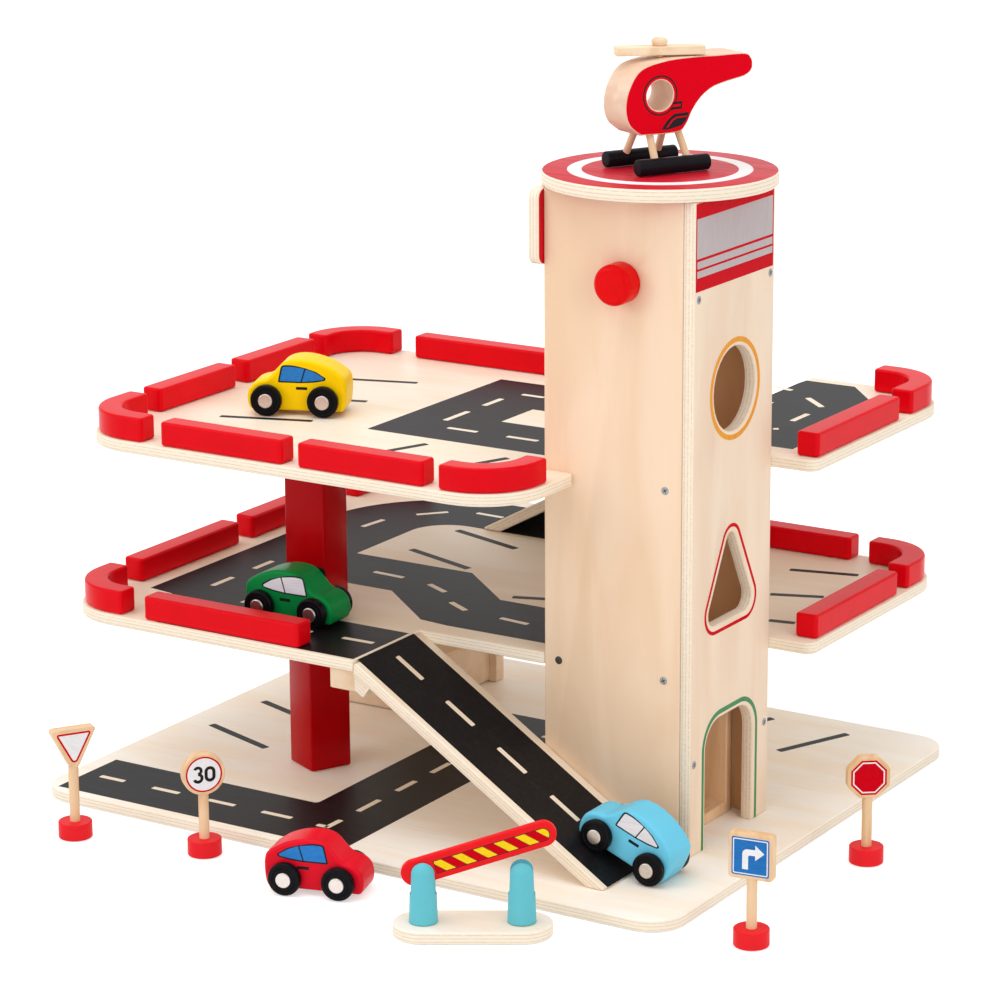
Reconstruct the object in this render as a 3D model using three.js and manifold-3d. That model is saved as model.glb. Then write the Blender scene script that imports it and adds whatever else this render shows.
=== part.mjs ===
// A wooden toy parking garage: a base board, two decks with red rails, a square
// tower with a crank lift and a landing disc, two ramps, and the loose toys of
// the set: four cars, a helicopter, a barrier and four road signs.
// Millimetres, +Z up. The origin is the centre of the base board's underside.
// Inside the plan group, X = 0 is the tower's right face, Y = 0 its front face
// and Z = 0 the top of the base board.
import * as THREE from 'three';
import { mergeVertices } from 'three/addons/utils/BufferGeometryUtils.js';
import Module from 'manifold-3d';

const wasm = await Module();
wasm.setup();

// Sheet stock, fits and shared finishing sizes
const ply = 9;
const towerPly = 9.7;
const fitGap = 0.3;
const runningGap = 0.07;
const easedEdge = 0.8;
const overrun = 5;

// Base board
const baseLength = 570;
const baseDepth = 473;
const baseCorner = 28;
const baseRightMargin = 51;
const baseFrontMargin = 127;

// Tower
const towerWidth = 126.5;
const towerDepth = 121;
const towerHeight = 494;
const discRadius = 87;
const discThickness = 10;
const discAcross = 63.5;
const signBoardHeight = 57;
const signBoardOverhang = 6.6;
const signBoardCorner = 8;

// Openings of the tower's right panel, measured from its front edge and foot
const roundWindowRadius = 32;
const roundWindowAcross = 62;
const roundWindowBelowTop = 147;
const triangleAcross = 59;
const triangleUp = 171.5;
const triangleHalfBase = 40.5;
const triangleRise = 75.8;
const triangleBaseCorner = 10;
const triangleTopCorner = 8;
const doorStart = 22;
const doorWidth = 74.5;
const doorHeight = 98;
const doorCorner = 22;

// Decks: clear heights of the storeys and the outlines' edges
const lowerStorey = 131;
const upperStorey = 134;
const deckCorner = 50;
const deckNoseCorner = 9;
const deckRight = 36.7;
const deckInnerStrip = 13.5;
const midLeft = 521.5;
const midFront = 91.5;
const midBehindTower = 241;
const rampJoint = 239;
const upperLeft = 498.7;
const upperFront = 95;
const upperBehindTower = 245.7;
const upperFrontRight = 100;
const upperLeftBehindTower = 159.5;
const upperPanelCorner = 5;
const rampHoleStart = 204;

// Rails
const railWidth = 18.7;
const railHeight = 18.8;
const railInset = 2.5;
const railEnd = 3;
const railEase = 1.6;
const railCornerRadius = 47.5;
const railLeg = 60;

// Posts and the support below the middle deck
const postWidth = 36.5;
const postEdge = 2.5;
const postAcross = 359;
const postBack = 35.3;
const lowerPostTurn = -26;
const upperPostTurn = 3;
const supportLeft = 455;
const supportRight = 348;
const supportSideRight = 355;
const supportFront = 173;
const supportBack = 295;
const supportWall = 39;
const supportWallEase = 3;

// Ramps
const rampWidth = 91;
const rampRun = 220;
const rampLip = 2.5;
const rampFoot = 1;
const hookDrop = 13.7;
const hookPoint = 18;
const hookPointAcross = 6.9;
const hookReach = 14.1;
const hookInset = 2;
const cleatWidth = 25;
const cleatHeight = 17.7;
const cleatLength = 78;
const cleatSetBack = 6.5;
const upperRampStart = 352.6;
const upperRampEnd = 92;
const upperRampFront = 267.5;

// Lift
const cabinLength = 97;
const cabinHeight = 118;
const cabinWall = 8;
const cabinPlay = 1;
const cabinBackPlay = 3.8;
const cabinEase = 6;
const cordOffset = 12.5;
const spindleAcross = 60;
const spindleBelowTop = 63;
const spindleRadius = 5;
const spindleSocket = 6;
const cordRadius = 1.25;
const flangeRadius = 18;
const flangeThickness = 4;
const spoolLength = 33;
const knobRadius = 13.5;
const knobLength = 15.5;
const knobDome = 4.5;
const knobSocket = 9;

// Toy cars
const carClearance = 3.5;
const carWidth = 30;
const carEdge = 2.5;
const wheelRadius = 12.5;
const wheelThickness = 6.5;
const wheelGap = 0.6;
const wheelShoulder = 1.6;
const hubRadius = 5.8;
const hubReach = 1.4;
const carAxleRadius = 2;
const rearWheelBeyondFoot = 20;

// Helicopter
const helicopterWidth = 31;
const helicopterEdge = 1;
const helicopterHole = 11;
const helicopterLength = 109;
const helicopterHeight = 55;
const helicopterRide = 28;
const skidRadius = 6;
const skidLength = 60;
const skidSpread = 45;
const skidEase = 1;
const strutRadius = 2.75;
const strutSpread = 17;
const strutPitch = 24;
const strutSplay = 2;
const rotorSetBack = 8.7;
const rotorTurn = -21.5;
const rotorCorner = 2.5;
const rotorLength = 66;
const rotorWidth = 14;
const rotorThickness = 6.5;
const rotorGap = 1.6;
const rotorPinRadius = 2.5;
const rotorPinDepth = 12;
const rotorHeadRadius = 6;
const rotorHeadHeight = 6;

// Barrier
const barrierLength = 114.5;
const barrierDepth = 44;
const barrierPostSpacing = 70;
const barrierPostFoot = 10.4;
const barrierPostTop = 9.2;
const barrierPostHeight = 46.3;
const barrierSlotDepth = 25;
const barrierSlotWidth = 8;
const armLength = 115;
const armWidth = 19;
const armThickness = 6.5;
const armEdge = 1;
const armTailLength = 16;
const armPivotUp = 39;
const armPinRadius = 1.5;
const armTilt = 17.8;

// Road signs
const signBaseRadius = 13;
const signBaseHeight = 12.8;
const signPostRadius = 3.9;
const signPlate = 8.5;
const signEdge = 0.8;
const signTenon = 12;

// Curve resolution: steps of whole circles and quarter rounds, and the turn of one
// step on an outline's small and large corners
const cornerSteps = 3;
const roundSteps = 32;
const footSteps = 24;
const wheelSteps = 16;
const thinSteps = 8;
const splineSteps = 2;
const smallRadius = 6;
const coarseStep = Math.PI / 4;
const fineStep = Math.PI / 18;
const sameAngle = 1e-6;

// Sizes that follow from the ones above
const tower = { inner: towerPly + fitGap, left: towerWidth, back: towerDepth };
const midUnder = lowerStorey;
const midTop = midUnder + ply;
const upperUnder = midTop + upperStorey;
const upperTop = upperUnder + ply;
const shaftEdge = -tower.left - fitGap;
const shaftFront = tower.inner + deckInnerStrip;
const rearStart = tower.back + fitGap;
const cabinFront = shaftFront + cabinPlay;
const cabinDepth = tower.back - towerPly - cabinBackPlay - cabinFront;
const midBack = towerDepth + midBehindTower;
const upperBack = towerDepth + upperBehindTower;
const upperLeftBack = towerDepth + upperLeftBehindTower;
const spindleUp = towerHeight - spindleBelowTop;
const spindleBack = tower.back - towerPly + spindleSocket;
const spoolMiddle = cabinFront + cabinDepth / 2;

// Finishes
const finishes = {
  birch: [0xe9d3ae, 0.55],
  beech: [0xe0bd92, 0.5],
  red: [0xc8141c, 0.3],
  darkRed: [0x9c1418, 0.35],
  turquoise: [0x55b7c4, 0.4],
  black: [0x1d1d1f, 0.35],
  cord: [0xd8d2c4, 0.8],
  yellow: [0xf3c414, 0.3],
  green: [0x17733a, 0.3],
  blue: [0x52b4de, 0.3],
  tyre: [0x1a1a1b, 0.3],
};

// Takes one name of the finishes and makes the piece's own material.
function finish(name) {
  const [color, roughness] = finishes[name];
  return new THREE.MeshStandardMaterial({ color, roughness, metalness: 0 });
}

// Joins shared corners and drops triangles without area.
function weld(geometry) {
  geometry.deleteAttribute('normal');
  geometry.deleteAttribute('uv');
  const merged = mergeVertices(geometry);
  const index = [];
  const from = merged.index.array;
  for (let i = 0; i < from.length; i += 3) {
    const [a, b, c] = [from[i], from[i + 1], from[i + 2]];
    if (a !== b && b !== c && c !== a) index.push(a, b, c);
  }
  merged.setIndex(index);
  return merged;
}

function solid(geometry) {
  const merged = weld(geometry);
  const vertProperties = merged.attributes.position.array;
  const triVerts = Uint32Array.from(merged.index.array);
  return new wasm.Manifold(new wasm.Mesh({ numProp: 3, vertProperties, triVerts }));
}

function surface(manifold) {
  const { vertProperties, triVerts } = manifold.getMesh();
  const geometry = new THREE.BufferGeometry();
  geometry.setAttribute('position', new THREE.BufferAttribute(vertProperties, 3));
  geometry.setIndex(new THREE.BufferAttribute(triVerts, 1));
  geometry.computeVertexNormals();
  return geometry;
}

function joined(first, ...others) {
  return surface(others.reduce((sum, geometry) => sum.add(solid(geometry)), solid(first)));
}

function cut(body, ...cutters) {
  return surface(cutters.reduce((rest, geometry) => rest.subtract(solid(geometry)), solid(body)));
}

// A closed outline through corners [x, y, radius]; a corner with a radius is an arc.
function outline(corners) {
  const points = [];
  const count = corners.length;
  corners.forEach(([x, y, radius = 0], i) => {
    const here = new THREE.Vector2(x, y);
    if (radius === 0) {
      points.push(here);
      return;
    }
    const [bx, by] = corners[(i + count - 1) % count];
    const [ax, ay] = corners[(i + 1) % count];
    const before = new THREE.Vector2(bx, by).sub(here).normalize();
    const after = new THREE.Vector2(ax, ay).sub(here).normalize();
    const half = Math.acos(before.dot(after)) / 2;
    const sweep = (Math.PI - 2 * half) * (before.cross(after) > 0 ? -1 : 1);
    const centre = before.clone().add(after).setLength(radius / Math.sin(half)).add(here);
    const start = here.clone().addScaledVector(before, radius / Math.tan(half));
    const steps = Math.ceil(Math.abs(sweep) / (radius < smallRadius ? coarseStep : fineStep) - sameAngle);
    for (let step = 0; step <= steps; step += 1) {
      points.push(start.clone().rotateAround(centre, (sweep * step) / steps));
    }
  });
  return new THREE.Shape(points);
}

function circle(x, y, radius, steps = roundSteps) {
  const points = [];
  for (let step = 0; step < steps; step += 1) {
    const angle = (step / steps) * 2 * Math.PI;
    points.push(new THREE.Vector2(x + radius * Math.cos(angle), y + radius * Math.sin(angle)));
  }
  return new THREE.Shape(points);
}

function rectangle(x0, y0, x1, y1, radius = 0) {
  return outline([[x0, y0, radius], [x1, y0, radius], [x1, y1, radius], [x0, y1, radius]]);
}

// A board of the given thickness from Z = 0 up, with its edges eased.
function board(shape, thickness, ease = easedEdge, easeSteps = 1) {
  const geometry = new THREE.ExtrudeGeometry(shape, {
    depth: thickness - 2 * ease,
    bevelEnabled: ease > 0,
    bevelThickness: ease,
    bevelSize: ease,
    bevelOffset: -ease,
    bevelSegments: easeSteps,
    curveSegments: splineSteps,
  });
  return geometry.translate(0, 0, ease);
}

// Turns a board drawn in (X, Z) to stand with its thickness along +Y.
function standAlongX(geometry, thickness) {
  return geometry.rotateX(Math.PI / 2).translate(0, thickness, 0);
}

// Turns a board drawn in (Y, Z) to stand with its thickness along +X.
function standAlongY(geometry) {
  return geometry.rotateX(Math.PI / 2).rotateZ(Math.PI / 2);
}

// A round solid about Z from [radius, height] points, lowest first.
function revolve(points, steps = roundSteps) {
  const profile = points.map(([radius, height]) => new THREE.Vector2(radius, height));
  return new THREE.LatheGeometry(profile, steps).rotateX(Math.PI / 2);
}

// A quarter round of a revolved profile, from the side up to the top.
function quarterRound(radius, height, round, steps) {
  const points = [];
  for (let i = 0; i <= steps; i += 1) {
    const angle = (i / steps) * (Math.PI / 2);
    points.push([radius - round + round * Math.cos(angle), height - round + round * Math.sin(angle)]);
  }
  return points;
}

function cylinder(radius, length, steps = wheelSteps) {
  return revolve([[0, 0], [radius, 0], [radius, length], [0, length]], steps);
}

// The radius that keeps a faceted bore clear of the round piece that turns in it.
function boreRadius(radius, gap, steps) {
  return (radius + gap) / Math.cos(Math.PI / steps);
}

function piece(name, geometry, colour) {
  const mesh = new THREE.Mesh(geometry, finish(colour));
  mesh.name = name;
  return mesh;
}

function grouped(...pieces) {
  return new THREE.Group().add(...pieces);
}

const plan = new THREE.Group();
plan.position.set(baseLength / 2 - baseRightMargin, baseFrontMargin - baseDepth / 2, ply);

// Base board
function baseBoard() {
  const shape = rectangle(
    baseRightMargin - baseLength, -baseFrontMargin,
    baseRightMargin, baseDepth - baseFrontMargin, baseCorner,
  );
  return board(shape, ply).translate(0, 0, -ply);
}

// The edge that both decks share round the tower: a slot for the front panel's end,
// a strip behind that panel, the open shaft and the return behind the back panel.
function edgeRoundTower() {
  return [
    [shaftEdge, -fitGap],
    [shaftEdge, tower.inner],
    [-tower.inner, tower.inner],
    [-tower.inner, shaftFront],
    [shaftEdge, shaftFront],
    [shaftEdge, rearStart],
    [deckRight, rearStart, deckNoseCorner],
  ];
}

function midDeck() {
  const shape = outline([
    [-midLeft, -midFront, deckCorner],
    [-rampJoint, -midFront],
    [-rampJoint, -fitGap],
    ...edgeRoundTower(),
    [deckRight, midBack, deckCorner],
    [-midLeft, midBack, deckCorner],
  ]);
  return board(shape, ply).translate(0, 0, midUnder);
}

function upperDeck() {
  const shape = outline([
    [-upperLeft, -upperFront, deckCorner],
    [-upperFrontRight, -upperFront, deckCorner],
    [-upperFrontRight, -fitGap, upperPanelCorner],
    ...edgeRoundTower(),
    [deckRight, upperBack, deckCorner],
    [-upperRampEnd, upperBack],
    [-upperRampEnd, upperRampFront - fitGap],
    [-rampHoleStart, upperRampFront - fitGap],
    [-rampHoleStart, upperLeftBack],
    [-upperLeft, upperLeftBack, deckCorner],
  ]);
  return board(shape, ply).translate(0, 0, upperUnder);
}

// Tower
function frontPanel() {
  const shape = rectangle(-tower.left, fitGap, -tower.inner, towerHeight);
  const hole = boreRadius(spindleRadius, runningGap, wheelSteps);
  const bore = cylinder(hole, towerPly + 2 * overrun).rotateX(-Math.PI / 2);
  bore.translate(-spindleAcross, -overrun, spindleUp);
  return cut(standAlongX(board(shape, towerPly), towerPly), bore);
}

function backPanel() {
  const shape = rectangle(-tower.left, fitGap, -tower.inner, towerHeight);
  const hole = boreRadius(spindleRadius, runningGap, wheelSteps);
  const socket = cylinder(hole, spindleSocket + fitGap + overrun).rotateX(-Math.PI / 2);
  socket.translate(-spindleAcross, tower.back - towerPly - overrun, spindleUp);
  const panel = standAlongX(board(shape, towerPly), towerPly);
  return cut(panel.translate(0, tower.back - towerPly, 0), socket);
}

function rightPanel() {
  const doorEnd = doorStart + doorWidth;
  const shape = outline([
    [0, fitGap],
    [doorStart, fitGap],
    [doorStart, doorHeight, doorCorner],
    [doorEnd, doorHeight, doorCorner],
    [doorEnd, fitGap],
    [towerDepth, fitGap],
    [towerDepth, towerHeight],
    [0, towerHeight],
  ]);
  shape.holes.push(circle(roundWindowAcross, towerHeight - roundWindowBelowTop, roundWindowRadius));
  shape.holes.push(outline([
    [triangleAcross - triangleHalfBase, triangleUp, triangleBaseCorner],
    [triangleAcross + triangleHalfBase, triangleUp, triangleBaseCorner],
    [triangleAcross, triangleUp + triangleRise, triangleTopCorner],
  ]));
  return standAlongY(board(shape, towerPly)).translate(-towerPly, 0, 0);
}

function leftSignBoard() {
  const top = towerHeight;
  const shape = rectangle(
    -signBoardOverhang, top - signBoardHeight,
    towerDepth + signBoardOverhang, top, signBoardCorner,
  );
  return standAlongY(board(shape, ply)).translate(-tower.left - fitGap - ply, 0, 0);
}

function helipadDisc() {
  const rim = discRadius - easedEdge;
  return revolve([
    [0, 0], [rim, 0], [discRadius, easedEdge],
    [discRadius, discThickness - easedEdge], [rim, discThickness], [0, discThickness],
  ], 2 * footSteps).translate(-discAcross, towerDepth / 2, towerHeight + fitGap);
}

// Posts and support
function post(bottom, top, turn) {
  const half = postWidth / 2;
  const geometry = board(rectangle(-half, -half, half, half, postEdge), top - bottom - 2 * fitGap);
  geometry.rotateZ(THREE.MathUtils.degToRad(turn));
  return geometry.translate(-postAcross, postBack, bottom + fitGap);
}

// A full-height board at the back with a low wall round the bay in front of it.
function rearSupport() {
  const inner = supportBack - ply;
  const wall = outline([
    [-supportLeft, supportFront],
    [-supportSideRight, supportFront],
    [-supportSideRight, inner],
    [-supportSideRight - ply, inner],
    [-supportSideRight - ply, supportFront + ply],
    [-supportLeft + ply, supportFront + ply],
    [-supportLeft + ply, inner],
    [-supportLeft, inner],
  ]);
  const low = board(wall, supportWall - fitGap, supportWallEase, 2).translate(0, 0, fitGap);
  const back = board(
    rectangle(-supportLeft, inner - supportWallEase, -supportRight, supportBack),
    lowerStorey - 2 * fitGap,
  ).translate(0, 0, fitGap);
  return joined(low, back);
}

// Ramps. Each is a plank whose ends are cut to the floor and to the deck's edge.
function plank(start, end, bottom, top, width) {
  const slope = Math.atan2(top - bottom, Math.abs(end - start));
  const side = Math.sign(end - start);
  const heel = ply / Math.sin(slope);
  const drop = ply / Math.cos(slope);
  const shape = outline([
    [start, bottom, rampFoot],
    [end, top, rampLip],
    [end, top - drop],
    [start + side * heel, bottom],
  ]);
  return standAlongX(board(shape, width, easedEdge), width);
}

function lowerRamp() {
  const top = -rampJoint + fitGap;
  const foot = top + rampRun;
  const ramp = plank(foot, top, fitGap, midTop, rampWidth);
  const drop = ply / Math.cos(Math.atan2(midTop - fitGap, rampRun));
  const under = midTop - drop;
  const slope = (midTop - fitGap) / rampRun;
  const hook = outline([
    [top, under + easedEdge],
    [top, under - hookDrop + easedEdge, rampFoot],
    [top + hookPointAcross, under - hookPoint, rampFoot],
    [top + hookReach, under - slope * hookReach],
    [top + hookReach, under - slope * hookReach + easedEdge],
  ]);
  const width = rampWidth - 2 * hookInset;
  const block = standAlongX(board(hook, width, 0), width).translate(0, hookInset, 0);
  return joined(ramp, block).translate(0, -midFront, 0);
}

function rampCleat() {
  const right = -rampJoint;
  const shape = rectangle(right - cleatWidth, -midFront + cleatSetBack, right, -midFront + cleatSetBack + cleatLength);
  return board(shape, cleatHeight).translate(0, 0, midUnder - cleatHeight - fitGap);
}

function upperRamp() {
  const ramp = plank(-upperRampStart, -upperRampEnd - fitGap, midTop + fitGap, upperTop, rampWidth);
  return ramp.translate(0, upperRampFront, 0);
}

// Rails
function straightRail(length) {
  return board(rectangle(0, 0, length, railWidth, railEnd), railHeight, railEase, 2);
}

// A rail round a corner; its outer corner lies at the origin and its legs run +X and +Y.
function cornerRail(legX, legY) {
  const inner = railCornerRadius - railWidth;
  const shape = outline([
    [0, 0, railCornerRadius],
    [legX, 0, railEnd],
    [legX, railWidth, railEnd],
    [railWidth, railWidth, inner],
    [railWidth, legY, railEnd],
    [0, legY, railEnd],
  ]);
  return board(shape, railHeight, railEase, 2);
}

// Each deck's rails lie along its edges. A corner's legs are shares of the common leg, and
// a straight rail starts and ends at shares of its edge.
function railsOf(deck) {
  const left = -deck.left + railInset;
  const front = -deck.front + railInset;
  const back = deck.back - railInset;
  const leftBack = deck.leftBack - railInset;
  const right = deckRight - railInset;
  const level = deck.top + fitGap;
  const quarter = Math.PI / 2;
  const places = {
    front_left: [left, front, 0],
    front_right: [-deck.frontRight - railInset, front, quarter],
    rear_left: [left, leftBack, -quarter],
    rear_right: [right, back, 2 * quarter],
  };
  const found = Object.entries(deck.corners).map(([place, [firstLeg, secondLeg]]) => {
    const [x, y, turn] = places[place];
    const geometry = cornerRail(firstLeg * railLeg, secondLeg * railLeg).rotateZ(turn).translate(x, y, level);
    return piece(`${deck.name}_rail_${place}_corner`, geometry, 'red');
  });
  const add = (place, geometry) => found.push(piece(`${deck.name}_rail_${place}`, geometry, 'red'));
  const runX = right - left;
  const runY = leftBack - front;
  const runRight = back - rearStart;
  deck.frontRails.forEach(([place, start, end]) => {
    add(place, straightRail((end - start) * runX).translate(left + start * runX, front, level));
  });
  deck.sideRails.forEach(([place, start, end]) => {
    const rail = straightRail((end - start) * runY).rotateZ(quarter);
    add(place, rail.translate(left + railWidth, front + start * runY, level));
  });
  deck.backRails.forEach(([place, start, end]) => {
    const rail = straightRail((end - start) * runX);
    add(place, rail.translate(left + start * runX, leftBack - railWidth, level));
  });
  deck.rightRails.forEach(([place, start, end]) => {
    const rail = straightRail((end - start) * runRight).rotateZ(quarter);
    add(place, rail.translate(right, rearStart + start * runRight, level));
  });
  return found;
}

// The legs in these two tables are shares of the common leg, and the rails' starts and
// ends are shares of their edge.
const midRailShares = {
  name: 'mid', left: midLeft, front: midFront, back: midBack, leftBack: midBack, top: midTop,
  corners: { front_left: [1.01, 1.07], rear_left: [1, 1], rear_right: [1, 1.13] },
  frontRails: [['front', 0.1485, 0.4135]],
  sideRails: [['left_front', 0.1815, 0.4785], ['left_rear', 0.519, 0.812]],
  backRails: [['rear', 0.602, 0.8625]],
  rightRails: [['right', 0.0505, 0.643]],
};
const upperRailShares = {
  name: 'upper', left: upperLeft, front: upperFront, back: upperBack, leftBack: upperLeftBack,
  top: upperTop, frontRight: upperFrontRight,
  corners: {
    front_left: [1.087, 1.19], rear_left: [0.935, 1.003], rear_right: [1.012, 1.22], front_right: [0.98, 0.975],
  },
  frontRails: [['front_left', 0.157, 0.37], ['front_right', 0.397, 0.607]],
  sideRails: [['left_front', 0.2335, 0.5075], ['left_rear', 0.5505, 0.81]],
  backRails: [['rear', 0.157, 0.428]],
  rightRails: [['right', 0.038, 0.615]],
};

// Lift. The cabin is a tunnel that is open at both ends, so cars drive through.
// The cord comes down beside the spool and meets the middle of its roof.
const cordAcross = -spindleAcross - cordOffset;
const spoolRadius = cordOffset - cordRadius - fitGap;

function liftCabin() {
  const section = rectangle(0, 0, cabinDepth, cabinHeight - fitGap);
  section.holes.push(outline([
    [cabinWall, ply],
    [cabinDepth - cabinWall, ply],
    [cabinDepth - cabinWall, cabinHeight - cabinWall, cabinEase],
    [cabinWall, cabinHeight - cabinWall, cabinEase],
  ]));
  const tunnel = standAlongY(board(section, cabinLength, easedEdge));
  return tunnel.translate(cordAcross - cabinLength / 2, cabinFront, fitGap);
}

function liftCord() {
  const bottom = cabinHeight + fitGap;
  const cord = cylinder(cordRadius, spindleUp - bottom, thinSteps);
  return cord.translate(cordAcross, spoolMiddle, bottom);
}

function liftSpindle() {
  const end = spindleBack + knobSocket;
  const spool = spoolMiddle + knobSocket;
  const half = spoolLength / 2;
  const profile = [
    [0, 0],
    [spindleRadius, 0],
    [spindleRadius, spool - half - flangeThickness],
    [flangeRadius, spool - half - flangeThickness],
    [flangeRadius, spool - half],
    [spoolRadius, spool - half],
    [spoolRadius, spool + half],
    [flangeRadius, spool + half],
    [flangeRadius, spool + half + flangeThickness],
    [spindleRadius, spool + half + flangeThickness],
    [spindleRadius, end],
    [0, end],
  ];
  const geometry = revolve(profile, wheelSteps).rotateX(-Math.PI / 2);
  return geometry.translate(-spindleAcross, -knobSocket, spindleUp);
}

function liftKnob() {
  const round = quarterRound(knobRadius, knobLength, knobDome, cornerSteps);
  const socket = boreRadius(spindleRadius, fitGap, wheelSteps);
  const depth = knobSocket + fitGap;
  const profile = [
    [0, depth],
    [socket, depth],
    [socket, 0],
    [knobRadius - easedEdge, 0],
    [knobRadius, easedEdge],
    ...round,
    [0, knobLength],
  ];
  const geometry = revolve(profile, footSteps).rotateX(Math.PI / 2);
  return geometry.translate(-spindleAcross, -fitGap, spindleUp);
}

// Toy cars. The side outline is given as shares of the body's length and height.
const carOutlineShares = [
  [0, 0.26], [0.02, 0.41], [0.07, 0.52], [0.13, 0.575], [0.19, 0.605], [0.245, 0.68],
  [0.3, 0.8], [0.365, 0.92], [0.45, 0.985], [0.56, 1], [0.68, 0.965], [0.81, 0.88],
  [0.92, 0.755], [0.98, 0.65], [1, 0.48],
];
const carSillShare = 0.06;

function carBody({ length, height, overhang, wheelbase }) {
  const points = carOutlineShares.map(([along, up]) => new THREE.Vector2(along * length, up * height));
  const sill = carSillShare * length;
  const shape = new THREE.Shape();
  shape.moveTo(sill, 0);
  shape.quadraticCurveTo(0, 0, points[0].x, points[0].y);
  shape.splineThru(points.slice(1));
  shape.quadraticCurveTo(length, 0, length - sill, 0);
  shape.closePath();
  const body = board(shape, carWidth, carEdge);
  const hole = boreRadius(carAxleRadius, runningGap, wheelSteps);
  const bores = [overhang, overhang + wheelbase].map((along) => {
    const bore = cylinder(hole, carWidth + 2 * overrun);
    return bore.translate(along, wheelRadius - carClearance, -overrun);
  });
  return cut(body, ...bores).rotateX(Math.PI / 2).translate(-overhang, carWidth / 2, carClearance);
}

// Both wheels and their axle in one lathe profile along the axle.
function wheelset() {
  const wheelInside = carWidth / 2 + wheelGap;
  const wheelOutside = wheelInside + wheelThickness;
  const side = [
    [carAxleRadius, wheelInside],
    [wheelRadius - wheelShoulder, wheelInside],
    [wheelRadius, wheelInside + wheelShoulder],
    [wheelRadius, wheelOutside - wheelShoulder],
    [wheelRadius - wheelShoulder, wheelOutside],
    [hubRadius, wheelOutside],
    [hubRadius, wheelOutside + hubReach],
    [0, wheelOutside + hubReach],
  ];
  const mirrored = [...side].reverse().map(([radius, across]) => [radius, -across]);
  return revolve([...mirrored, ...side], wheelSteps).rotateX(-Math.PI / 2).translate(0, 0, wheelRadius);
}

// A car's own origin is on the ground below its front axle, with its nose towards -X.
// Each car has its own length, height, front overhang and wheelbase.
function car(name, colour, sizes, place) {
  const rear = wheelset().translate(sizes.wheelbase, 0, 0);
  const parts = grouped(
    piece(`${name}_body`, carBody(sizes), colour),
    piece(`${name}_front_wheels`, wheelset(), 'tyre'),
    piece(`${name}_rear_wheels`, rear, 'tyre'),
  );
  parts.rotation.set(0, THREE.MathUtils.degToRad(place.pitch || 0), THREE.MathUtils.degToRad(place.turn), 'ZYX');
  parts.position.set(place.x, place.y, place.z);
  return parts;
}

// A car leaving the ramp: its rear wheels stand on the base board, a given way past
// the ramp's foot, and its front wheels on the slope.
function placeAtRampFoot({ wheelbase }, beyond) {
  const slope = Math.atan2(midTop - fitGap, rampRun);
  const hub = wheelRadius + fitGap;
  const lean = Math.asin((beyond * Math.sin(slope) - hub * (1 - Math.cos(slope))) / wheelbase);
  const pitch = slope - lean;
  const rear = fitGap - rampJoint + rampRun + beyond;
  return {
    x: rear - wheelbase * Math.cos(pitch) - wheelRadius * Math.sin(pitch),
    y: rampWidth / 2 - midFront,
    z: hub + wheelbase * Math.sin(pitch) - wheelRadius * Math.cos(pitch),
    turn: 0,
    pitch: THREE.MathUtils.radToDeg(pitch),
  };
}

// Helicopter, with its nose towards -X and the middle of its skids at the origin.
const helicopterOutlineShares = [
  [0.12, 0], [0.03, 0.15], [0.0, 0.38], [0.03, 0.64], [0.12, 0.87], [0.3, 0.965],
  [0.5, 0.985], [0.72, 1], [0.93, 1], [1, 0.86], [0.93, 0.72], [0.8, 0.69],
  [0.68, 0.59], [0.59, 0.46], [0.53, 0.27], [0.46, 0.08], [0.38, 0],
];
const helicopterNoseShare = 0.33;
const helicopterHoleShares = [0.27, 0.51];

function helicopterShape() {
  const points = helicopterOutlineShares.map(([along, up]) => new THREE.Vector2(
    (along - helicopterNoseShare) * helicopterLength, helicopterRide + up * helicopterHeight,
  ));
  const shape = new THREE.Shape();
  shape.moveTo(points[0].x, points[0].y);
  shape.splineThru(points.slice(1));
  shape.closePath();
  const [along, up] = helicopterHoleShares;
  shape.holes.push(circle(
    (along - helicopterNoseShare) * helicopterLength,
    helicopterRide + up * helicopterHeight, helicopterHole, footSteps,
  ));
  return shape;
}

const holeAlong = (helicopterHoleShares[0] - helicopterNoseShare) * helicopterLength;
const rotorAlong = holeAlong + rotorSetBack;
const helicopterTop = helicopterRide + helicopterHeight;

function helicopterBody() {
  const slab = standAlongX(board(helicopterShape(), helicopterWidth, helicopterEdge), helicopterWidth);
  slab.translate(0, -helicopterWidth / 2, 0);
  const hole = boreRadius(rotorPinRadius, runningGap, wheelSteps);
  const bore = cylinder(hole, rotorPinDepth + overrun);
  bore.translate(rotorAlong, 0, helicopterTop - rotorPinDepth);
  return cut(slab, bore);
}

function helicopterRotor() {
  const under = helicopterTop + rotorGap;
  const half = rotorWidth / 2;
  const blade = rectangle(-rotorLength / 2, -half, rotorLength / 2, half, rotorCorner);
  const bar = board(blade, rotorThickness).rotateZ(THREE.MathUtils.degToRad(rotorTurn));
  bar.translate(rotorAlong, 0, under);
  const top = rotorGap + rotorThickness + rotorHeadHeight;
  const pin = revolve([
    [0, fitGap - rotorPinDepth],
    [rotorPinRadius, fitGap - rotorPinDepth],
    [rotorPinRadius, rotorGap + rotorThickness - easedEdge],
    [rotorHeadRadius, rotorGap + rotorThickness - easedEdge],
    ...quarterRound(rotorHeadRadius, top, rotorHeadHeight / 2, cornerSteps),
    [0, top],
  ], wheelSteps).translate(rotorAlong, 0, helicopterTop);
  return joined(bar, pin);
}

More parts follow.
